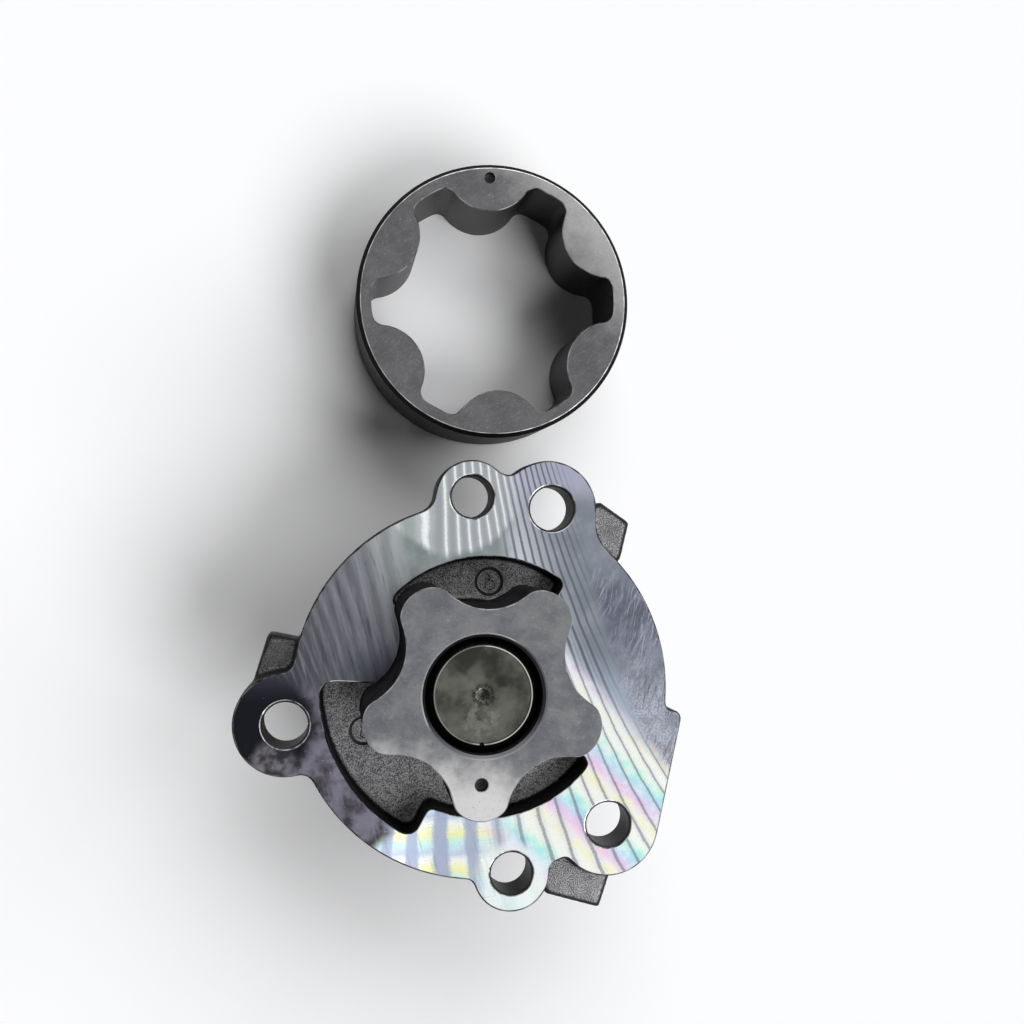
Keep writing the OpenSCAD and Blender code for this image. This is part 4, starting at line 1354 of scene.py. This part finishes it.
# %% Housing: sinkings in the port floors
SINKINGS = [(4.6, 19.9), (-21.4, -10.6)]
SINKING_R = 3.1
ISLAND_R = 2.45
for x, y in SINKINGS:
    tools.append(turned("sinking", [
        (0, -8.05), (ISLAND_R, -8.05), (ISLAND_R + 0.15, -8.35), (SINKING_R - 0.15, -8.35),
        (SINKING_R, -7.2), (0, -7.2)], (x, y), 64))
    tools.append(turned("pit", [(0, -8.5), (0.5, -8.3), (0.6, -7.9), (0, -7.9)],
                        (x - 0.2, y + 0.9), 24))
    tools.append(turned("pit", [(0, -8.3), (0.9, -8.25), (1.2, -7.9), (0, -7.9)],
                        (x + 0.3, y - 0.7), 32))
cut(housing, *tools)
finish_shape(housing)


# %% [markdown]
# The strip round the milled face is bright along the ports and the holes. Round the outside
# of the flange the photograph shows it dull, so that part gets a darker finish. A face's
# finish follows from where its centre lies.

# %% Housing: finishes
FLANGE_BRIGHT_R = 31.5
BOSS_BRIGHT_R = 7.0
SEAT_Z = -8.7


def housing_finish(at, normal):
    if at.z > -RUBBED_DROP and normal.z > 0.9:
        if at.z > -0.001:
            return "milled"
        by_a_hole = any(near(at, place, BOSS_BRIGHT_R) for place, _, _ in bolt_places)
        return "edge" if near(at, FLANGE_CENTRE, FLANGE_BRIGHT_R) or by_a_hole else "rim"
    if near(at, (0, 0), bush_r + 0.5):
        return "drilled"
    if any(near(at, sinking, SINKING_R + 0.05) and not near(at, sinking, ISLAND_R)
           for sinking in SINKINGS):
        return "drilled" if at.z < -7.6 else "cast"
    for place, r, _ in bolt_places:
        reach = SEAT_R if at.z < SEAT_Z else r + HOLE_CHAMFER
        if near(at, place, reach + 0.02):
            return "drilled"
    return "cast"


give_finishes(housing, {"cast": cast_skin, "milled": milled_face, "edge": bright_edge,
                        "rim": dull_edge, "drilled": drilled}, housing_finish)
place_on(housing, "pump_body", "pump_housing")

# %% [markdown]
# The small parts have the right shape in the CAD model, but no real washer or nut has razor
# edges. Each one becomes a piece of its own with its edges broken by a small bevel, so that
# they catch the light.

# %% Small parts with broken edges
BEVEL = 0.25


def soften(node, body, finish):
    """A piece like a CAD node, with all its sharp edges bevelled."""
    bm = merged_copy(node)
    mesh = bpy.data.meshes.new(node + "_softened")
    bm.to_mesh(mesh)
    bm.free()
    piece = to_object(node + "_softened", mesh)
    mesh.materials.append(finish)
    bevel = piece.modifiers.new("broken edges", "BEVEL")
    bevel.width = BEVEL * MM
    bevel.segments = 2
    bevel.limit_method = "ANGLE"
    bevel.angle_limit = SHARP
    settle(piece)
    finish_shape(piece)
    place_on(piece, body, node)


for node, body in (("front_bush", "pump_body"), ("rear_bush", "pump_body"),
                   ("thrust_washer", "drive_train")):
    soften(node, body, bronze)
for node in ("gear_key", "tab_washer", "shaft_nut"):
    soften(node, "drive_train", plated)

# %% [markdown]
# The pump was photographed on white between three soft lamps: one above it in the picture,
# one to its right and one to its lower right. That is why the shadows are soft and all lie
# on the left. The floor is plain and keeps them. The world looks white to the camera and to
# reflections, but hardly lights the scene itself, so that the shadows stay.

# %% Floor, world and lamp
FILL = 0.03


def make_floor():
    material, tree, place = new_finish("pale_floor")
    set_shader(tree, {"Base Color": (0.975, 0.98, 0.99, 1.0), "Roughness": 0.9,
                      "Specular IOR Level": 0.0})
    mesh = bpy.data.meshes.new("floor")
    reach = 2.5
    mesh.from_pydata([(-reach, -reach, floor_z), (reach, -reach, floor_z),
                      (reach, reach, floor_z), (-reach, reach, floor_z)], [], [(0, 1, 2, 3)])
    mesh.materials.append(material)
    floor = to_object("floor", mesh)


def make_world():
    world = bpy.data.worlds.new("studio")
    world.use_nodes = True
    tree = world.node_tree
    light_path = tree.nodes.new("ShaderNodeLightPath")
    seen = [Wire(tree, light_path.outputs[name])
            for name in ("Is Camera Ray", "Is Glossy Ray", "Is Transmission Ray")]
    white = greater(greater(seen[0], seen[1]), seen[2])
    background = tree.nodes["Background"]
    background.inputs["Color"].default_value = (1, 1, 1, 1)
    tree.links.new((FILL + white * (1.0 - FILL)).socket, background.inputs["Strength"])
    bpy.context.scene.world = world


def make_lamp(name, azimuth, elevation, spread, share):
    """A lamp far away that looks spread degrees wide, and gives the floor this share of the
    light that makes white white."""
    lamp = bpy.data.lights.new(name, "SUN")
    lamp.angle = math.radians(spread)
    lamp.energy = share * math.pi / math.sin(math.radians(elevation))
    thing = bpy.data.objects.new(name, lamp)
    a, e = math.radians(azimuth), math.radians(elevation)
    way = Vector((math.cos(a) * math.cos(e), math.sin(a) * math.cos(e), math.sin(e)))
    thing.rotation_euler = way.to_track_quat("Z", "Y").to_euler()
    bpy.context.scene.collection.objects.link(thing)
    print(name, "lamp:", round(lamp.energy, 2), "W per square metre")


make_floor()
make_world()
make_lamp("lower right softbox", 315, 48, 34, 0.41)
make_lamp("upper softbox", 78, 38, 45, 0.28)
make_lamp("right softbox", 15, 42, 45, 0.28)
bpy.context.scene.view_settings.view_transform = "Standard"
